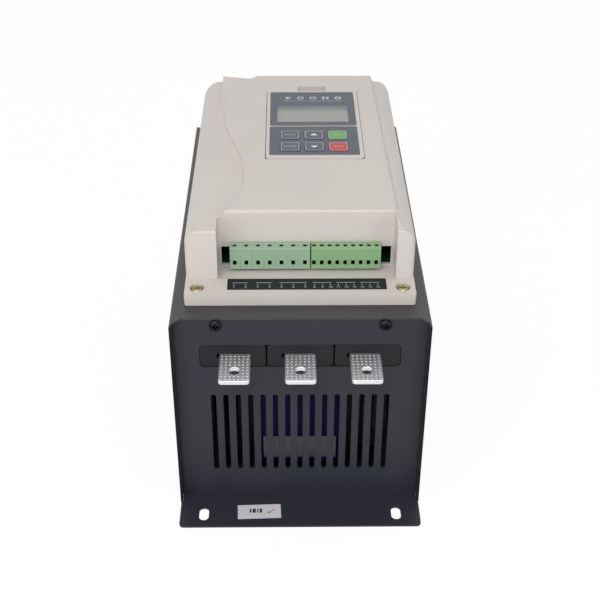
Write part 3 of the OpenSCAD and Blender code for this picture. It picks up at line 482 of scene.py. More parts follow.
def joined(name, pieces):
    """Several pieces as one."""
    activate(pieces[0])
    for piece in pieces:
        piece.select_set(True)
    bpy.ops.object.join()
    made = bpy.context.active_object
    made.name = made.data.name = name
    return made


def paint(piece, *finishes):
    """Gives a piece its finishes. Its faces show the first one."""
    piece.data.materials.clear()
    for finish in finishes:
        piece.data.materials.append(finish_of(finish))


def paint_faces(piece, test):
    """Gives the faces whose middle and normal pass a test the piece's second finish."""
    edit(piece)
    pick_faces(piece, test)
    piece.active_material_index = 1
    bpy.ops.object.material_slot_assign()
    deselect()


def settle(piece, body, slot, *nodes):
    """The piece rides on its body and stands for the nodes. The slot is not used."""
    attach(piece, body)
    if nodes:
        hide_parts(*nodes)
    return piece


def softened_node(node, name, width, segments=2, angle=38, reshape=None):
    """A copy of a CAD node whose sharp edges are rounded as a tool or a mould leaves them.
    A reshape function gives each of its points a new place first."""
    flat = math.radians(0.4)
    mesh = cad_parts[node].data.copy()
    piece = bpy.data.objects.new(name, mesh)
    bpy.context.scene.collection.objects.link(piece)
    activate(piece)
    if mesh.has_custom_normals:
        bpy.ops.mesh.customdata_custom_splitnormals_clear()
    edit(piece)
    bpy.ops.mesh.select_all(action="SELECT")
    bpy.ops.mesh.remove_doubles(threshold=MERGE)
    if reshape:
        shape = bmesh.from_edit_mesh(mesh)
        for point in shape.verts:
            point.co = reshape(point.co)
        bmesh.update_edit_mesh(mesh)
        bpy.ops.mesh.remove_doubles(threshold=MERGE)
    bpy.ops.mesh.dissolve_limited(angle_limit=flat)
    bpy.ops.mesh.vert_connect_concave()
    deselect()
    soften(piece, width, segments, angle)
    return piece


def dressed(node, name, slot, finish, width, **rounding):
    """A softened copy of a chassis node, with its finish, in the node's place."""
    piece = softened_node(node, name, width, **rounding)
    paint(piece, finish)
    return settle(piece, "chassis", slot, node)


def reround(across, along, old, new, deep):
    """Moves a point of a rounded corner from its old radius to a new one. Across and along are the
    point's distances inside the two faces that meet there; points deeper than the wall stay."""
    near = 0.05 * MM
    dx, dy = old - across, old - along
    inside = old - math.hypot(dx, dy)
    if min(dx, dy) < -LEVEL or not -near < inside < deep:
        return across, along
    turn = math.atan2(dy, dx)
    reach = max(new - inside, near)
    return new - reach * math.cos(turn), new - reach * math.sin(turn)


def finish_node(node, finish):
    """Gives a CAD node that stays its finish."""
    paint(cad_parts[node], finish)


def stripe(name, across, along, z, ink):
    """A flat printed stripe between two X and two Y values, half sunk into its face."""
    return block(name, (across[0], along[0], z - ink), (across[1], along[1], z + ink))


def words(name, text, middle, size, thickness):
    """A line of generic lettering as a mesh, flat and centred."""
    deselect()
    bpy.ops.object.text_add(location=(0, 0, 0))
    line = bpy.context.active_object
    line.data.body = text
    line.data.size = size
    line.data.align_x, line.data.align_y = "CENTER", "CENTER"
    line.data.extrude = thickness / 2
    line.data.resolution_u = 3
    bpy.ops.object.convert(target="MESH")
    made = bpy.context.active_object
    made.name = made.data.name = name
    made.location = middle
    bpy.ops.object.transform_apply(location=True, rotation=True, scale=True)
    return made


# Settings


# What the colour settings share, and what the lengths share
COLOUR = {"subtype": "COLOR", "min": 0, "max": 1}
LENGTH = {"unit": "LENGTH", "min": 0}


class StarterColours(PropertyGroup):
    """Colours of the painted, moulded and printed surfaces"""

    chassis: FloatVectorProperty(
        name="Chassis", description="Powder coat of the deck and side walls",
        default=to_linear("#343435"), **COLOUR,
    )
    panel: FloatVectorProperty(
        name="End panels", description="Powder coat of the end panels and flanges",
        default=to_linear("#2D3037"), **COLOUR,
    )
    cover: FloatVectorProperty(
        name="Cover", description="Plastic of the front cover and keypad frame",
        default=to_linear("#CDC6C1"), **COLOUR,
    )
    film: FloatVectorProperty(
        name="Keypad film", description="Printed film around the keys and the display",
        default=to_linear("#515660"), **COLOUR,
    )
    display: FloatVectorProperty(
        name="Display", description="Liquid crystal display when it is off",
        default=to_linear("#9A9C96"), **COLOUR,
    )
    relay_green: FloatVectorProperty(
        name="Relay plug", description="Plastic of the plug with the wide spacing",
        default=to_linear("#93B096"), **COLOUR,
    )
    signal_green: FloatVectorProperty(
        name="Signal plug", description="Plastic of the plug with the narrow spacing",
        default=to_linear("#88AD80"), **COLOUR,
    )
    run_key: FloatVectorProperty(
        name="Run key", description="Ink of the run key",
        default=to_linear("#69A35A"), **COLOUR,
    )
    stop_key: FloatVectorProperty(
        name="Stop key", description="Ink of the stop key",
        default=to_linear("#C04140"), **COLOUR,
    )


class StarterSizes(PropertyGroup):
    """Edges, pressed studs and printed marks"""

    cover_edge: FloatProperty(
        name="Cover edges", description="Radius on the cover's sharp edges",
        default=0.3 * MM, **LENGTH,
    )
    sheet_edge: FloatProperty(
        name="Sheet edges", description="Radius on the cut edges of the steel",
        default=0.3 * MM, **LENGTH,
    )
    panel_edge: FloatProperty(
        name="Panel edges", description="Radius on the cut edges of the end panels",
        default=0.1 * MM, **LENGTH,
    )
    small_edge: FloatProperty(
        name="Small edges", description="Radius on screws and small mouldings",
        default=0.25 * MM, **LENGTH,
    )
    knurl_columns: IntProperty(
        name="Knurl columns", description="Pressed studs across a power tab", min=1, default=7
    )
    knurl_rows: IntProperty(
        name="Knurl rows", description="Pressed studs along a power tab", min=1, default=9
    )
    stud: FloatProperty(
        name="Stud", description="Width of a pressed stud",
        default=1.25 * MM, **LENGTH,
    )
    stud_height: FloatProperty(
        name="Stud height", description="Height of a pressed stud",
        default=0.28 * MM, **LENGTH,
    )
    ink: FloatProperty(
        name="Ink", description="Thickness of printed marks",
        default=0.04 * MM, **LENGTH,
    )
    key_line: FloatProperty(
        name="Key outline", description="Width of the line round a key",
        default=0.75 * MM, **LENGTH,
    )


class StarterStage(PropertyGroup):
    """Camera and soft light"""

    lens: FloatProperty(
        name="Lens", description="Focal length on a 36 mm sensor",
        subtype="DISTANCE_CAMERA", default=69.63,
    )
    location: FloatVectorProperty(
        name="Camera", description="Place of the camera", subtype="TRANSLATION", unit="LENGTH",
        default=(-0.00843, -0.71863, 0.5574),
    )
    pitch: FloatProperty(
        name="Pitch", description="Tilt below the horizon",
        subtype="ANGLE", default=math.radians(34.04),
    )
    yaw: FloatProperty(
        name="Yaw", description="Turn to the left", subtype="ANGLE", default=math.radians(-0.79)
    )
    roll: FloatProperty(
        name="Roll", description="Turn about the view", subtype="ANGLE", default=math.radians(0.23)
    )
    sky: FloatProperty(
        name="Sky", description="Strength of the soft light all round", min=0, default=0.48
    )


# Operators


class STARTER_OT_chassis(Operator):
    """Folded steel chassis with its end panels, back plate and panel screws"""

    bl_idname = "starter.chassis"
    bl_label = "Chassis"

    def execute(self, context):
        sizes = context.scene.starter_sizes
        wrap = softened_node("wrap_cover", "chassis_wrap", sizes.sheet_edge)
        paint(wrap, "powder_coated_steel_charcoal", "powder_coated_steel_edge")
        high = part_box("wrap_cover")[1]
        sheet, bevel = 1.6 * MM, 0.4 * MM
        # The cut edges at the ends of the side walls get the near-black second finish: painted
        # shade for the dark gap along the cheeks
        paint_faces(
            wrap,
            lambda c, n: abs(n.y) > 0.3 and abs(c.y) > high.y - bevel and abs(c.x) > high.x - sheet,
        )
        settle(wrap, "chassis", "chassis_paint", "wrap_cover")
        for end in ENDS:
            dressed(
                f"{end}_end_panel", f"{end}_panel", "panel_paint", "powder_coated_steel_slate",
                sizes.panel_edge, reshape=self.crisp_fold,
            )
        finish_node("back_plate", "powder_coated_steel_charcoal")
        dressed(
            "panel_screws", "panel_pan_screws", "black_screw", "black_oxide_steel", sizes.small_edge
        )
        return {"FINISHED"}

    def crisp_fold(self, point):
        """Draws the inner radius of the fold between panel and flange together into one line."""
        face, sheet, radius, near = 132.5 * MM, 1.5 * MM, 2.0 * MM, 0.03 * MM
        dy, dz = abs(point.y) - face - radius, point.z - sheet - radius
        on_arc = abs(math.hypot(dy, dz) - radius) < near and dy < near and dz < near
        return Vector((point.x, math.copysign(face, point.y), sheet)) if on_arc else point


class STARTER_OT_power_tabs(Operator):
    """Tinned power bars with studs pressed into their tabs, and the insulators round them"""

    bl_idname = "starter.power_tabs"
    bl_label = "Power tabs"

    def execute(self, context):
        sizes = context.scene.starter_sizes
        moulding_edge = 0.5 * MM
        for end in ENDS:
            for pole in POLES:
                dressed(
                    f"{end}_insulator_{pole}", f"{end}_block_{pole}", "insulator_plastic",
                    "moulded_nylon_black", moulding_edge,
                )
                node = f"{end}_busbar_{pole}"
                bar = self.bar(sizes, node, f"{end}_tab_{pole}", end)
                settle(bar, "chassis", "tinned_copper", node)
        return {"FINISHED"}

    def bar(self, sizes, node, name, end):
        """One bar: rounded ends, two bolt holes, soft edges and the studs."""
        corner, edge, skin = 2.5 * MM, 0.45 * MM, 0.2 * MM
        tab_hole, hole_inset, inner_hole = 3.5 * MM, 10.5 * MM, 3.0 * MM
        low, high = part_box(node)
        sign = ENDS[end]
        tab_end, inner_end = (low.y, high.y) if sign < 0 else (high.y, low.y)
        bar = block(name, low, high)
        edit(bar)
        pick_edges(bar, upright)
        bpy.ops.mesh.bevel(offset=corner, segments=6, affect="EDGES")
        deselect()
        middle = (low + high) / 2
        half = (high.x - low.x) / 2
        through = 3 * (high.z - low.z)
        hole_y = tab_end - sign * hole_inset
        inner_y = inner_end + sign * half
        cut(bar, rod("tab_hole", (middle.x, hole_y, middle.z), tab_hole, through, 40))
        cut(bar, rod("inner_hole", (middle.x, inner_y, middle.z), inner_hole, through, 32))
        soften(bar, edge, 3, 40)
        paint(bar, "tinned_copper", "tinned_copper_pressed")
        paint_faces(bar, lambda c, n: n.z > 0.9 and c.z > high.z - skin)
        side_inset, end_inset, last_inset, sunk = 1.7 * MM, 2.2 * MM, 4.2 * MM, 0.02 * MM
        hole_room = tab_hole + 0.75 * sizes.stud
        block_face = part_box(f"{end}_insulator_1")[0 if sign < 0 else 1].y
        step_x = 2 * (half - side_inset) / (sizes.knurl_columns - 1)
        step_y = (abs(block_face - tab_end) - last_inset) / (sizes.knurl_rows - 1)
        stud = self.stud(sizes)
        studs = []
        for row in range(sizes.knurl_rows):
            for column in range(sizes.knurl_columns):
                x = low.x + side_inset + column * step_x
                y = tab_end - sign * (end_inset + row * step_y)
                if math.hypot(x - middle.x, y - hole_y) > hole_room:
                    studs.append(copy_of(stud, "stud_copy", (x, y, high.z - sunk)))
        bpy.data.objects.remove(stud)
        return joined(name, [bar, *studs])

    def stud(self, sizes):
        """One pressed stud, narrower at its top."""
        half, taper = sizes.stud / 2, 0.62
        stud = block("stud", (-half, -half, 0), (half, half, sizes.stud_height))
        edit(stud)
        pick_faces(stud, lambda c, n: n.z > 0.9)
        bpy.ops.transform.resize(value=(taper, taper, 1))
        deselect()
        paint(stud, "tinned_copper_pressed")
        return stud


class STARTER_OT_inner_parts(Operator):
    """Finishes of the power parts, the control transformer and the board behind the sheet metal"""

    bl_idname = "starter.inner_parts"
    bl_label = "Inner parts"

    def execute(self, context):
        finishes = {
            "heat_sink": "extruded_aluminium",
            "terminal_screws": "yellow_zinc_plate",
            # The core is darkened: painted shade inside the housing
            "transformer_core": "silicon_steel_laminations",
            "transformer_winding": "polyester_tape_violet",
            "winding_band": "kraft_paper_band",
            # The strap and its screws are darkened: painted shade inside the housing
            "transformer_strap": "zinc_plated_steel",
            "transformer_screws": "zinc_plated_steel",
            "control_board": "solder_masked_board",
            "board_standoffs": "yellow_zinc_plate",
            "relay_header": "moulded_polyamide_grey_green",
            "signal_header": "moulded_polyamide_leaf_green",
        }
        for pole in POLES:
            finishes[f"thyristor_module_{pole}"] = "moulded_epoxy_black"
            finishes[f"current_transformer_{pole}"] = "cast_epoxy_blue"
        for node, finish in finishes.items():
            finish_node(node, finish)
        return {"FINISHED"}


class STARTER_OT_cover(Operator):
    """Moulded front cover and its two screws"""

    bl_idname = "starter.cover"
    bl_label = "Front cover"

    def execute(self, context):
        sizes = context.scene.starter_sizes
        shell = softened_node("front_cover", "cover_shell", sizes.cover_edge, 3, 42, self.corners())
        shell = joined("cover_shell", [shell, self.far_wall()])
        paint(shell, "moulded_abs_ivory")
        settle(shell, "chassis", "cover_plastic", "front_cover")
        dressed(
            "cover_screws", "cover_pan_screws", "yellow_zinc", "yellow_zinc_plate", sizes.small_edge
        )
        return {"FINISHED"}

    def far_wall(self):
        """The strip of wall under the bonnet's far edge, which the CAD node leaves open."""
        left, right, inset, wall = -28.5 * MM, 55.5 * MM, 0.45 * MM, 2.1 * MM
        bottom, top = SHOULDER_TOP - 2.0 * MM, SHOULDER_TOP + 2.4 * MM
        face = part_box("front_cover")[1].y - inset
        return block("far_wall", (left, face - wall, bottom), (right, face, top))

    def corners(self):
        """Reshapes the cover's corners: rounder shoulders towards the far end, a crisper foot."""
        low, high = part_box("front_cover")
        half, front, far, top = high.x, low.y, high.y, SHOULDER_TOP
        fillet, left_fillet, right_fillet = 10 * MM, 15 * MM, 12.5 * MM
        corner, foot_corner, wall, foot_wall = 4 * MM, 2 * MM, 2.6 * MM, 1.7 * MM

        def reshape(point):
            side = math.copysign(1, point.x)
            inset = half - abs(point.x)
            share = (point.y - SHOULDER_FRONT) / (far - SHOULDER_FRONT)
            if share > 0:
                end_fillet = left_fillet if side < 0 else right_fillet
                grown = fillet + share * (end_fillet - fillet)
                inset, below = reround(inset, top - point.z, fillet, grown, wall)
                return Vector((side * (half - inset), point.y, top - below))
            inset, behind = reround(inset, point.y - front, corner, foot_corner, foot_wall)
            return Vector((side * (half - inset), front + behind, point.z))

        return reshape


class STARTER_OT_plugs(Operator):
    """Two pull-off terminal plugs with wire entries, clamp wells and grooves between the ways"""

    bl_idname = "starter.plugs"
    bl_label = "Terminal plugs"

    def execute(self, context):
        self.plug("relay", "moulded_polyamide_grey_green", "relay_green")
        self.plug("signal", "moulded_polyamide_leaf_green", "signal_green")
        return {"FINISHED"}

    def plug(self, name, finish, slot):
        """One plug: its moulding, the tongue in the header, and a cage and a clamp in each way."""
        tongue_deep, drop, beyond = 11.0 * MM, 0.5 * MM, 1.0 * MM
        half_w, half_h, entry_z, entry_share = 1.2 * MM, 1.6 * MM, 4.7 * MM, 0.8
        well, well_inset, clearance = 1.5 * MM, 3.2 * MM, 0.05 * MM
        nose, lip_tall, step_tall = 0.6 * MM, 2.2 * MM, 0.35 * MM
        groove, shallow = 0.1 * MM, 0.25 * MM
        tongue_inset, tongue_low, tongue_high, overlap = 2.0 * MM, 1.2 * MM, 8.6 * MM, 0.2 * MM
        body_edge, tongue_edge = 0.18 * MM, 0.4 * MM
        ways, pitch, margin = PLUGS[name]
        left_trim, right_trim = PLUG_TRIMS[name]
        node_low, node_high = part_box(f"{name}_plug")
        first = node_low.x + margin
        low = node_low + Vector((left_trim, 0, -drop))
        high = node_high - Vector((right_trim, 0, drop))
        back, lip = high.y - tongue_deep, high.z - lip_tall
        entry_mid, entry_end = low.z + entry_z, low.y + entry_share * (back - low.y)
        seat, clamp_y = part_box(f"{name}_clamp_screws")[0].z, low.y + well_inset

        def top_front(a, b):
            return min(a.z, b.z) > high.z - LEVEL and max(a.y, b.y) < low.y + LEVEL

        body = block(f"{name}_block", low, (high.x, back, high.z))
        edit(body)
        pick_edges(body, top_front)
        bpy.ops.mesh.bevel(offset=nose, segments=2, affect="EDGES")
        deselect()
        step = block(
            "step",
            (low.x - beyond, low.y - beyond, lip - step_tall),
            (high.x + beyond, low.y + shallow, lip),
        )
        cut(body, step)
        entry = block(
            "entry",
            (first - half_w, low.y - beyond, entry_mid - half_h),
            (first + half_w, entry_end, entry_mid + half_h),
        )
        cut(body, row_of(entry, ways, pitch))
        hole = rod("well", (first, clamp_y, high.z), well, 2 * (high.z - seat), 28)
        cut(body, row_of(hole, ways, pitch))
        between = first + pitch / 2
        parting = block(
            "groove",
            (between - groove, low.y - beyond, low.z - beyond),
            (between + groove, low.y + shallow, lip),
        )
        cut(body, row_of(parting, ways - 1, pitch))
        soften(body, body_edge, 2, 40)
        tongue = block(
            "tongue",
            (low.x + tongue_inset, back - overlap, node_low.z + tongue_low),
            (high.x - tongue_inset, high.y, node_low.z + tongue_high),
        )
        soften(tongue, tongue_edge)
        for piece in (body, tongue):
            paint(piece, finish)
        cages = row_of(self.cage(first, low.y, entry_mid, half_w, half_h), ways, pitch)
        body = joined(f"{name}_block", [body, tongue, cages])
        settle(body, f"{name}_plug", slot, f"{name}_plug")
        clamps = row_of(self.clamp((first, clamp_y, seat), well - clearance), ways, pitch)
        clamps.name = clamps.data.name = f"{name}_clamps"
        settle(clamps, f"{name}_plug", "clamp_steel", f"{name}_clamp_screws")

    def clamp(self, foot, radius):
        """One slotted clamp screw, standing deep in its well, near-black as painted shade in the
        well.
        """
        tall, edge, slot_half, slot_deep = 5.4 * MM, 0.1 * MM, 0.25 * MM, 0.6 * MM
        x, y, z = foot
        screw = rod("clamp", (x, y, z + tall / 2), radius, tall, 24)
        slot = block(
            "slot",
            (x - 2 * radius, y - slot_half, z + tall - slot_deep),
            (x + 2 * radius, y + slot_half, z + tall + slot_deep),
        )
        cut(screw, slot)
        soften(screw, edge)
        paint(screw, "blued_steel")
        return screw

    def cage(self, x, front, z, half_w, half_h):
        """The steel cage behind one wire entry: a sleeve, open to the front, near-black as painted
        shade deep in the entry.
        """
        fit, wall, lead = 0.02 * MM, 0.3 * MM, 0.6 * MM
        cage = block(
            "cage",
            (x - half_w + fit, front + lead, z - half_h + fit),
            (x + half_w - fit, front + 6 * lead, z + half_h - fit),
        )
        edit(cage)
        pick_faces(cage, lambda c, n: n.y < -0.9)
        bpy.ops.mesh.inset(thickness=wall)
        bpy.ops.transform.translate(value=(0, 4 * lead, 0))
        deselect()
        paint(cage, "blued_steel")
        return cage


class STARTER_OT_legend(Operator):
    """Numbered terminal legend on the cover's foot"""

    bl_idname = "starter.legend"
    bl_label = "Terminal legend"

    def execute(self, context):
        sizes = context.scene.starter_sizes
        finish_node("terminal_legend", "printed_film_black")
        low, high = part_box("terminal_legend")
        z, ink = high.z, sizes.ink
        number_y, number_size = low.y + 2.6 * MM, 2.7 * MM
        tick_half, tick_y = 0.2 * MM, (low.y + 4.4 * MM, low.y + 6.0 * MM)
        bracket_past, bracket_y = 1.2 * MM, (low.y + 7.6 * MM, low.y + 7.95 * MM)
        ways = []
        for name, (count, pitch, margin) in PLUGS.items():
            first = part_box(f"{name}_plug")[0].x + margin
            ways += [first + i * pitch for i in range(count)]
        marks = []
        for number, x in enumerate(ways, 1):
            marks.append(words("number", str(number), (x, number_y, z), number_size, ink))
            marks.append(stripe("tick", (x - tick_half, x + tick_half), tick_y, z, ink))
        for first, last in BRACKETS:
            reach = (ways[first] - bracket_past, ways[last] + bracket_past)
            marks.append(stripe("bracket", reach, bracket_y, z, ink))
        print_on = joined("legend_numbers", marks)
        paint(print_on, "screen_ink_pale")
        settle(print_on, "chassis", "legend_film")
        return {"FINISHED"}


class STARTER_OT_sticker(Operator):
    """Inspection sticker on the flange, with stamped bars and a pen tick"""

    bl_idname = "starter.sticker"
    bl_label = "Flange sticker"

    def execute(self, context):
        sizes = context.scene.starter_sizes
        paper_edge = 0.06 * MM
        dressed("flange_sticker", "inspection_label", "sticker_paper", "label_paper", paper_edge)
        low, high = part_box("flange_sticker")
        mid = (low + high) / 2
        bar_y = (mid.y - 1.2 * MM, mid.y + 2.6 * MM)
        bars = [
            stripe("bar", (mid.x + x * MM, mid.x + (x + wide) * MM), bar_y, high.z, sizes.ink)
            for x, wide in STAMP_BARS
        ]
        stamp = joined("label_stamp", bars)
        paint(stamp, "stamp_ink_black")
        settle(stamp, "chassis", "sticker_paper")
        corner = (mid.x + 6.4 * MM, mid.y - 1.4 * MM, high.z)
        short = self.stroke((-1.8 * MM, 0.2 * MM), -48, corner, sizes.ink)
        long = self.stroke((-0.2 * MM, 5.4 * MM), 42, corner, sizes.ink)
        tick = joined("label_tick", [short, long])
        paint(tick, "pen_ink_red")
        settle(tick, "chassis", "sticker_paper")
        return {"FINISHED"}

    def stroke(self, reach, turn, corner, ink):
        """One stroke of the tick, along X before its turn about the tick's corner."""
        half = 0.3 * MM
        made = stripe("stroke", reach, (-half, half), 0, ink)
        turned = Matrix.Rotation(math.radians(turn), 4, "Z")
        made.data.transform(Matrix.Translation(corner) @ turned)
        return made


class STARTER_OT_keypad(Operator):
    """Lift-out keypad: moulded frame, printed films, display, window and status marks"""

    bl_idname = "starter.keypad"
    bl_label = "Keypad"

    def execute(self, context):
        sizes = context.scene.starter_sizes
        rim_edge, past = 0.4 * MM, 1.5 * MM
        rim = softened_node("keypad_frame", "keypad_rim", rim_edge, 3, 42)
        paint(rim, "moulded_abs_ivory", "printed_film_slate")
        low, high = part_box("display_window")
        # The walls of the display's opening are painted as dark as the film round it: painted shade
        # in the recess
        paint_faces(
            rim,
            lambda c, n: abs(n.z) < 0.7
            and low.x - past < c.x < high.x + past
            and low.y - past < c.y < high.y + past,
        )
        settle(rim, "keypad", "cover_plastic", "keypad_frame")
        finish_node("key_film", "printed_film_slate")
        finish_node("display_film", "printed_film_slate")
        finish_node("display_window", "clear_acrylic")
        finish_node("display_module", "liquid_crystal_cell")
        finish_node("keypad_board", "solder_masked_board")
        film_low, film_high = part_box("display_film")
        x, y = (film_low.x + film_high.x) / 2 + 0.6 * MM, film_high.y - 10.5 * MM
        z, ink, thick, step = film_high.z, sizes.ink, 2 * sizes.ink, 9.4 * MM
        pause, near, far = x + step, 0.6 * MM, 2.4 * MM
        pause_y, rule_y = (y - 2.2 * MM, y + 2.2 * MM), (y - 5.6 * MM, y - 5.2 * MM)
        rule_half = 2.3 * step
        marks = [
            rod("play", (x - 2 * step, y, z), 2.9 * MM, thick, 3, (0, 0, math.radians(-90))),
            self.ring("ring", (x - step, y, z), 2.6 * MM, 1.5 * MM, thick, 28, 0),
            self.ring("frame", (x, y, z), 3.2 * MM, 1.9 * MM, thick, 4, 45),
            stripe("pause", (pause - far, pause - near), pause_y, z, ink),
            stripe("pause", (pause + near, pause + far), pause_y, z, ink),
            self.ring("hexagon", (x + 2 * step, y, z), 2.9 * MM, 1.4 * MM, thick, 6, 30),
            stripe("rule", (x - rule_half, x + rule_half), rule_y, z, ink),
        ]
        print_on = joined("status_marks", marks)
        paint(print_on, "screen_ink_pale")
        settle(print_on, "keypad", "keypad_film")
        return {"FINISHED"}

    def ring(self, name, middle, outer, inner, thick, sides, turn):
        """A flat ring, or a frame of few sides."""
        turned = (0, 0, math.radians(turn))
        made = rod(name, middle, outer, thick, sides, turned)
        cut(made, rod("hole", middle, inner, 4 * thick, sides, turned))
        return made


class STARTER_OT_keys(Operator):
    """Six keys: soft-cornered caps with a printed line round each and a mark on top"""

    bl_idname = "starter.keys"
    bl_label = "Keys"

    def execute(self, context):
        sizes = context.scene.starter_sizes
        for key in KEYS:
            finish, slot = KEY_TINTS.get(key, ("printed_film_slate", "key_grey"))
            cap = self.cap(sizes, key, finish)
            settle(cap, f"key_{key}", slot, f"key_{key}")
        return {"FINISHED"}

    def cap(self, sizes, key, finish):
        """One key: its cap with a printed line and a mark, the skirt under the film, the stem."""
        flange, corner, margin, dish = 0.9 * MM, 2.5 * MM, 0.3 * MM, 0.08 * MM
        cap_tall, skirt_foot, stem_head, stem_radius = 2.8 * MM, 3.8 * MM, 3.6 * MM, 2.0 * MM
        cap_edge, foot_edge = 0.12 * MM, 0.2 * MM
        low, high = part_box(f"key_{key}")
        mid = (low + high) / 2
        cap = block(
            f"cap_{key}",
            (low.x + flange, low.y + flange, high.z - cap_tall),
            (high.x - flange, high.y - flange, high.z),
        )
        edit(cap)
        pick_edges(cap, upright)
        bpy.ops.mesh.bevel(offset=corner, segments=6, affect="EDGES")
        pick_faces(cap, lambda c, n: n.z > 0.9)
        for thickness in (margin, sizes.key_line, margin):
            bpy.ops.mesh.inset(thickness=thickness)
        bpy.ops.transform.translate(value=(0, 0, -dish))
        deselect()
        paint(cap, finish, "screen_ink_grey")
        out_x = (high.x - low.x) / 2 - flange - margin
        out_y = (high.y - low.y) / 2 - flange - margin
        in_x, in_y = out_x - sizes.key_line, out_y - sizes.key_line

        def on_line(c, n):
            dx, dy = abs(c.x - mid.x), abs(c.y - mid.y)
            if n.z <= 0.98 or dx >= out_x or dy >= out_y:
                return False
            return dx > in_x or dy > in_y or self.in_corner(dx, dy, in_x, in_y, corner)

        paint_faces(cap, on_line)
        soften(cap, cap_edge, 2, 50)
        skirt = block(
            "skirt", (low.x, low.y, high.z - skirt_foot), (high.x, high.y, high.z - cap_tall)
        )
        stem_top = high.z - stem_head
        stem_mid = (mid.x, mid.y, (low.z + stem_top) / 2)
        stem = rod("stem", stem_mid, stem_radius, stem_top - low.z, 24)
        for piece in (skirt, stem):
            soften(piece, foot_edge)
            paint(piece, finish)
        mark = self.mark(sizes, key, (mid.x, mid.y, high.z - dish))
        return joined(f"cap_{key}", [cap, skirt, stem, mark])

    def in_corner(self, dx, dy, half_x, half_y, corner):
        """True where a point lies in the rounded corner of the printed line."""
        inset, least = 1.05 * MM, 0.4 * MM
        inner = max(corner - inset, least)
        cx, cy = half_x - inner, half_y - inner
        return dx > cx and dy > cy and math.hypot(dx - cx, dy - cy) > inner

    def mark(self, sizes, key, place):
        """The printed mark on a key: an arrow, or a generic word."""
        thick = 2 * sizes.ink
        if key in ("up", "down"):
            radius, stretch = 2.7 * MM, (1.15, 0.72, 1, 1)
            turn = 0 if key == "up" else -math.pi
            arrow = rod("arrow", (0, 0, 0), radius, thick, 3, (0, 0, turn))
            arrow.data.transform(Matrix.Translation(place) @ Matrix.Diagonal(stretch))
            paint(arrow, "screen_ink_white")
            return arrow
        size = (2.7 if key in KEY_TINTS else 3.0) * MM
        label = words("label", key.upper(), place, size, thick)
        paint(label, "screen_ink_pale")
        return label


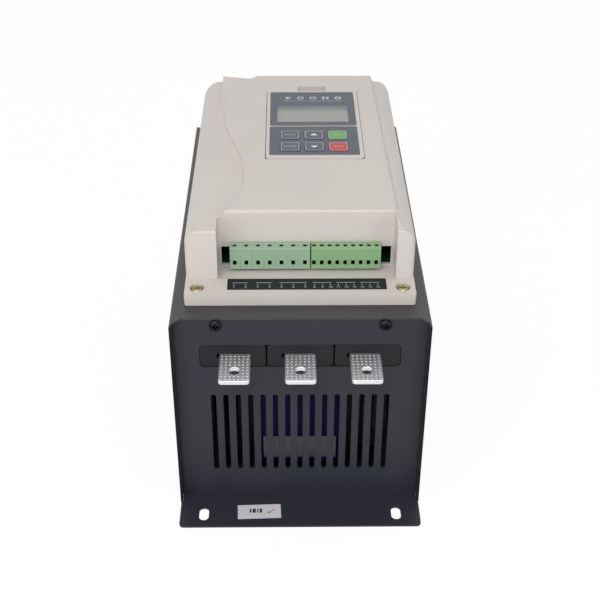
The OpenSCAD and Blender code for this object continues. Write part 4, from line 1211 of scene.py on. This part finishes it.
class STARTER_OT_stage(Operator):
    """Pale floor, soft studio light and the camera"""

    bl_idname = "starter.stage"
    bl_label = "Stage"

    def execute(self, context):
        settings = context.scene.starter_stage
        floor_width, floor_drop, sensor, clip = 12, 0.2 * MM, 36, (0.01, 50)
        deselect()
        bpy.ops.mesh.primitive_plane_add(size=floor_width, location=(0, 0, -floor_drop))
        floor = named("studio_floor")
        floor.data.materials.append(self.floor_paint())
        self.sky(context, settings)
        for name, values in LAMPS.items():
            self.lamp(name, *values)
        camera = bpy.data.objects.new("photo_camera", bpy.data.cameras.new("photo_camera"))
        context.scene.collection.objects.link(camera)
        camera.data.sensor_width = sensor
        camera.data.lens = settings.lens
        turn = (
            Matrix.Rotation(settings.yaw, 4, "Z")
            @ Matrix.Rotation(math.pi / 2 - settings.pitch, 4, "X")
            @ Matrix.Rotation(settings.roll, 4, "Z")
        )
        camera.matrix_world = Matrix.Translation(settings.location) @ turn
        camera.data.clip_start, camera.data.clip_end = clip
        context.scene.camera = camera
        context.scene.view_settings.view_transform = "Standard"
        return {"FINISHED"}

    def lamp(self, name, place, size, power):
        """A round soft box, aimed at the object."""
        aim = Vector((0, 0, 0.1))
        light = bpy.data.lights.new(name, "AREA")
        light.shape, light.size, light.energy = "DISK", size, power
        lamp = bpy.data.objects.new(name, light)
        bpy.context.scene.collection.objects.link(lamp)
        turn = (aim - Vector(place)).to_track_quat("-Z", "Y").to_matrix().to_4x4()
        lamp.matrix_world = Matrix.Translation(place) @ turn

    def seen(self, owner):
        """One for rays that see a surface, straight, in gloss or through glass, and else zero."""
        path = add(owner, "ShaderNodeLightPath").outputs
        seen = path["Is Camera Ray"]
        for ray in ("Is Glossy Ray", "Is Transmission Ray"):
            either = {0: seen, 1: path[ray]}
            seen = add(owner, "ShaderNodeMath", {}, either, operation="MAXIMUM").outputs[0]
        return seen

    def floor_paint(self):
        """White studio floor: plain white where it is seen, with the object's soft shadow in it."""
        grey, white, plain = 0.85, 1.03, 0.9
        material = bpy.data.materials.new("studio_floor_paint")
        material.use_nodes = True
        material.node_tree.nodes.clear()
        matt = add(material, "ShaderNodeBsdfDiffuse", {"Color": (grey, grey, grey, 1)})
        glow = add(material, "ShaderNodeEmission", {"Strength": white})
        seen = {0: self.seen(material)}
        share = add(material, "ShaderNodeMath", {1: plain}, seen, operation="MULTIPLY")
        parts = {0: share.outputs[0], 1: matt.outputs[0], 2: glow.outputs[0]}
        mix = add(material, "ShaderNodeMixShader", {}, parts)
        add(material, "ShaderNodeOutputMaterial", links={"Surface": mix.outputs[0]})
        return material

    def sky(self, context, settings):
        """Even white light all round, plain white where it is seen."""
        world = bpy.data.worlds.new("studio_sky")
        context.scene.world = world
        world.use_nodes = True
        world.node_tree.nodes.clear()
        ends, seen = {"To Min": settings.sky, "To Max": 1.0}, {"Value": self.seen(world)}
        strength = {"Strength": add(world, "ShaderNodeMapRange", ends, seen).outputs[0]}
        back = add(world, "ShaderNodeBackground", {"Color": (1, 1, 1, 1)}, strength)
        add(world, "ShaderNodeOutputWorld", links={"Surface": back.outputs[0]})


OPERATORS = (
    STARTER_OT_chassis,
    STARTER_OT_power_tabs,
    STARTER_OT_inner_parts,
    STARTER_OT_cover,
    STARTER_OT_plugs,
    STARTER_OT_legend,
    STARTER_OT_sticker,
    STARTER_OT_keypad,
    STARTER_OT_keys,
    STARTER_OT_stage,
)


class STARTER_PT_looks(Panel):
    """Lists the steps that build the looks"""

    bl_idname = "STARTER_PT_looks"
    bl_label = "Soft starter"
    bl_space_type = "VIEW_3D"
    bl_region_type = "UI"
    bl_category = "Soft starter"

    def draw(self, context):
        column = self.layout.column()
        for step in OPERATORS:
            column.operator(step.bl_idname)
        for name, group in GROUPS.items():
            for setting in group.__annotations__:
                column.prop(getattr(context.scene, name), setting)


GROUPS = {
    "starter_colours": StarterColours,
    "starter_sizes": StarterSizes,
    "starter_stage": StarterStage,
}


def register():
    for item in (*GROUPS.values(), *OPERATORS, STARTER_PT_looks):
        bpy.utils.register_class(item)
    for name, group in GROUPS.items():
        setattr(bpy.types.Scene, name, PointerProperty(type=group))


def unregister():
    for name in GROUPS:
        delattr(bpy.types.Scene, name)
    for item in (STARTER_PT_looks, *reversed(OPERATORS), *GROUPS.values()):
        bpy.utils.unregister_class(item)


def main():
    register()
    for step in OPERATORS:
        group, name = step.bl_idname.split(".")
        getattr(getattr(bpy.ops, group), name)()


if __name__ == "__main__":
    main()
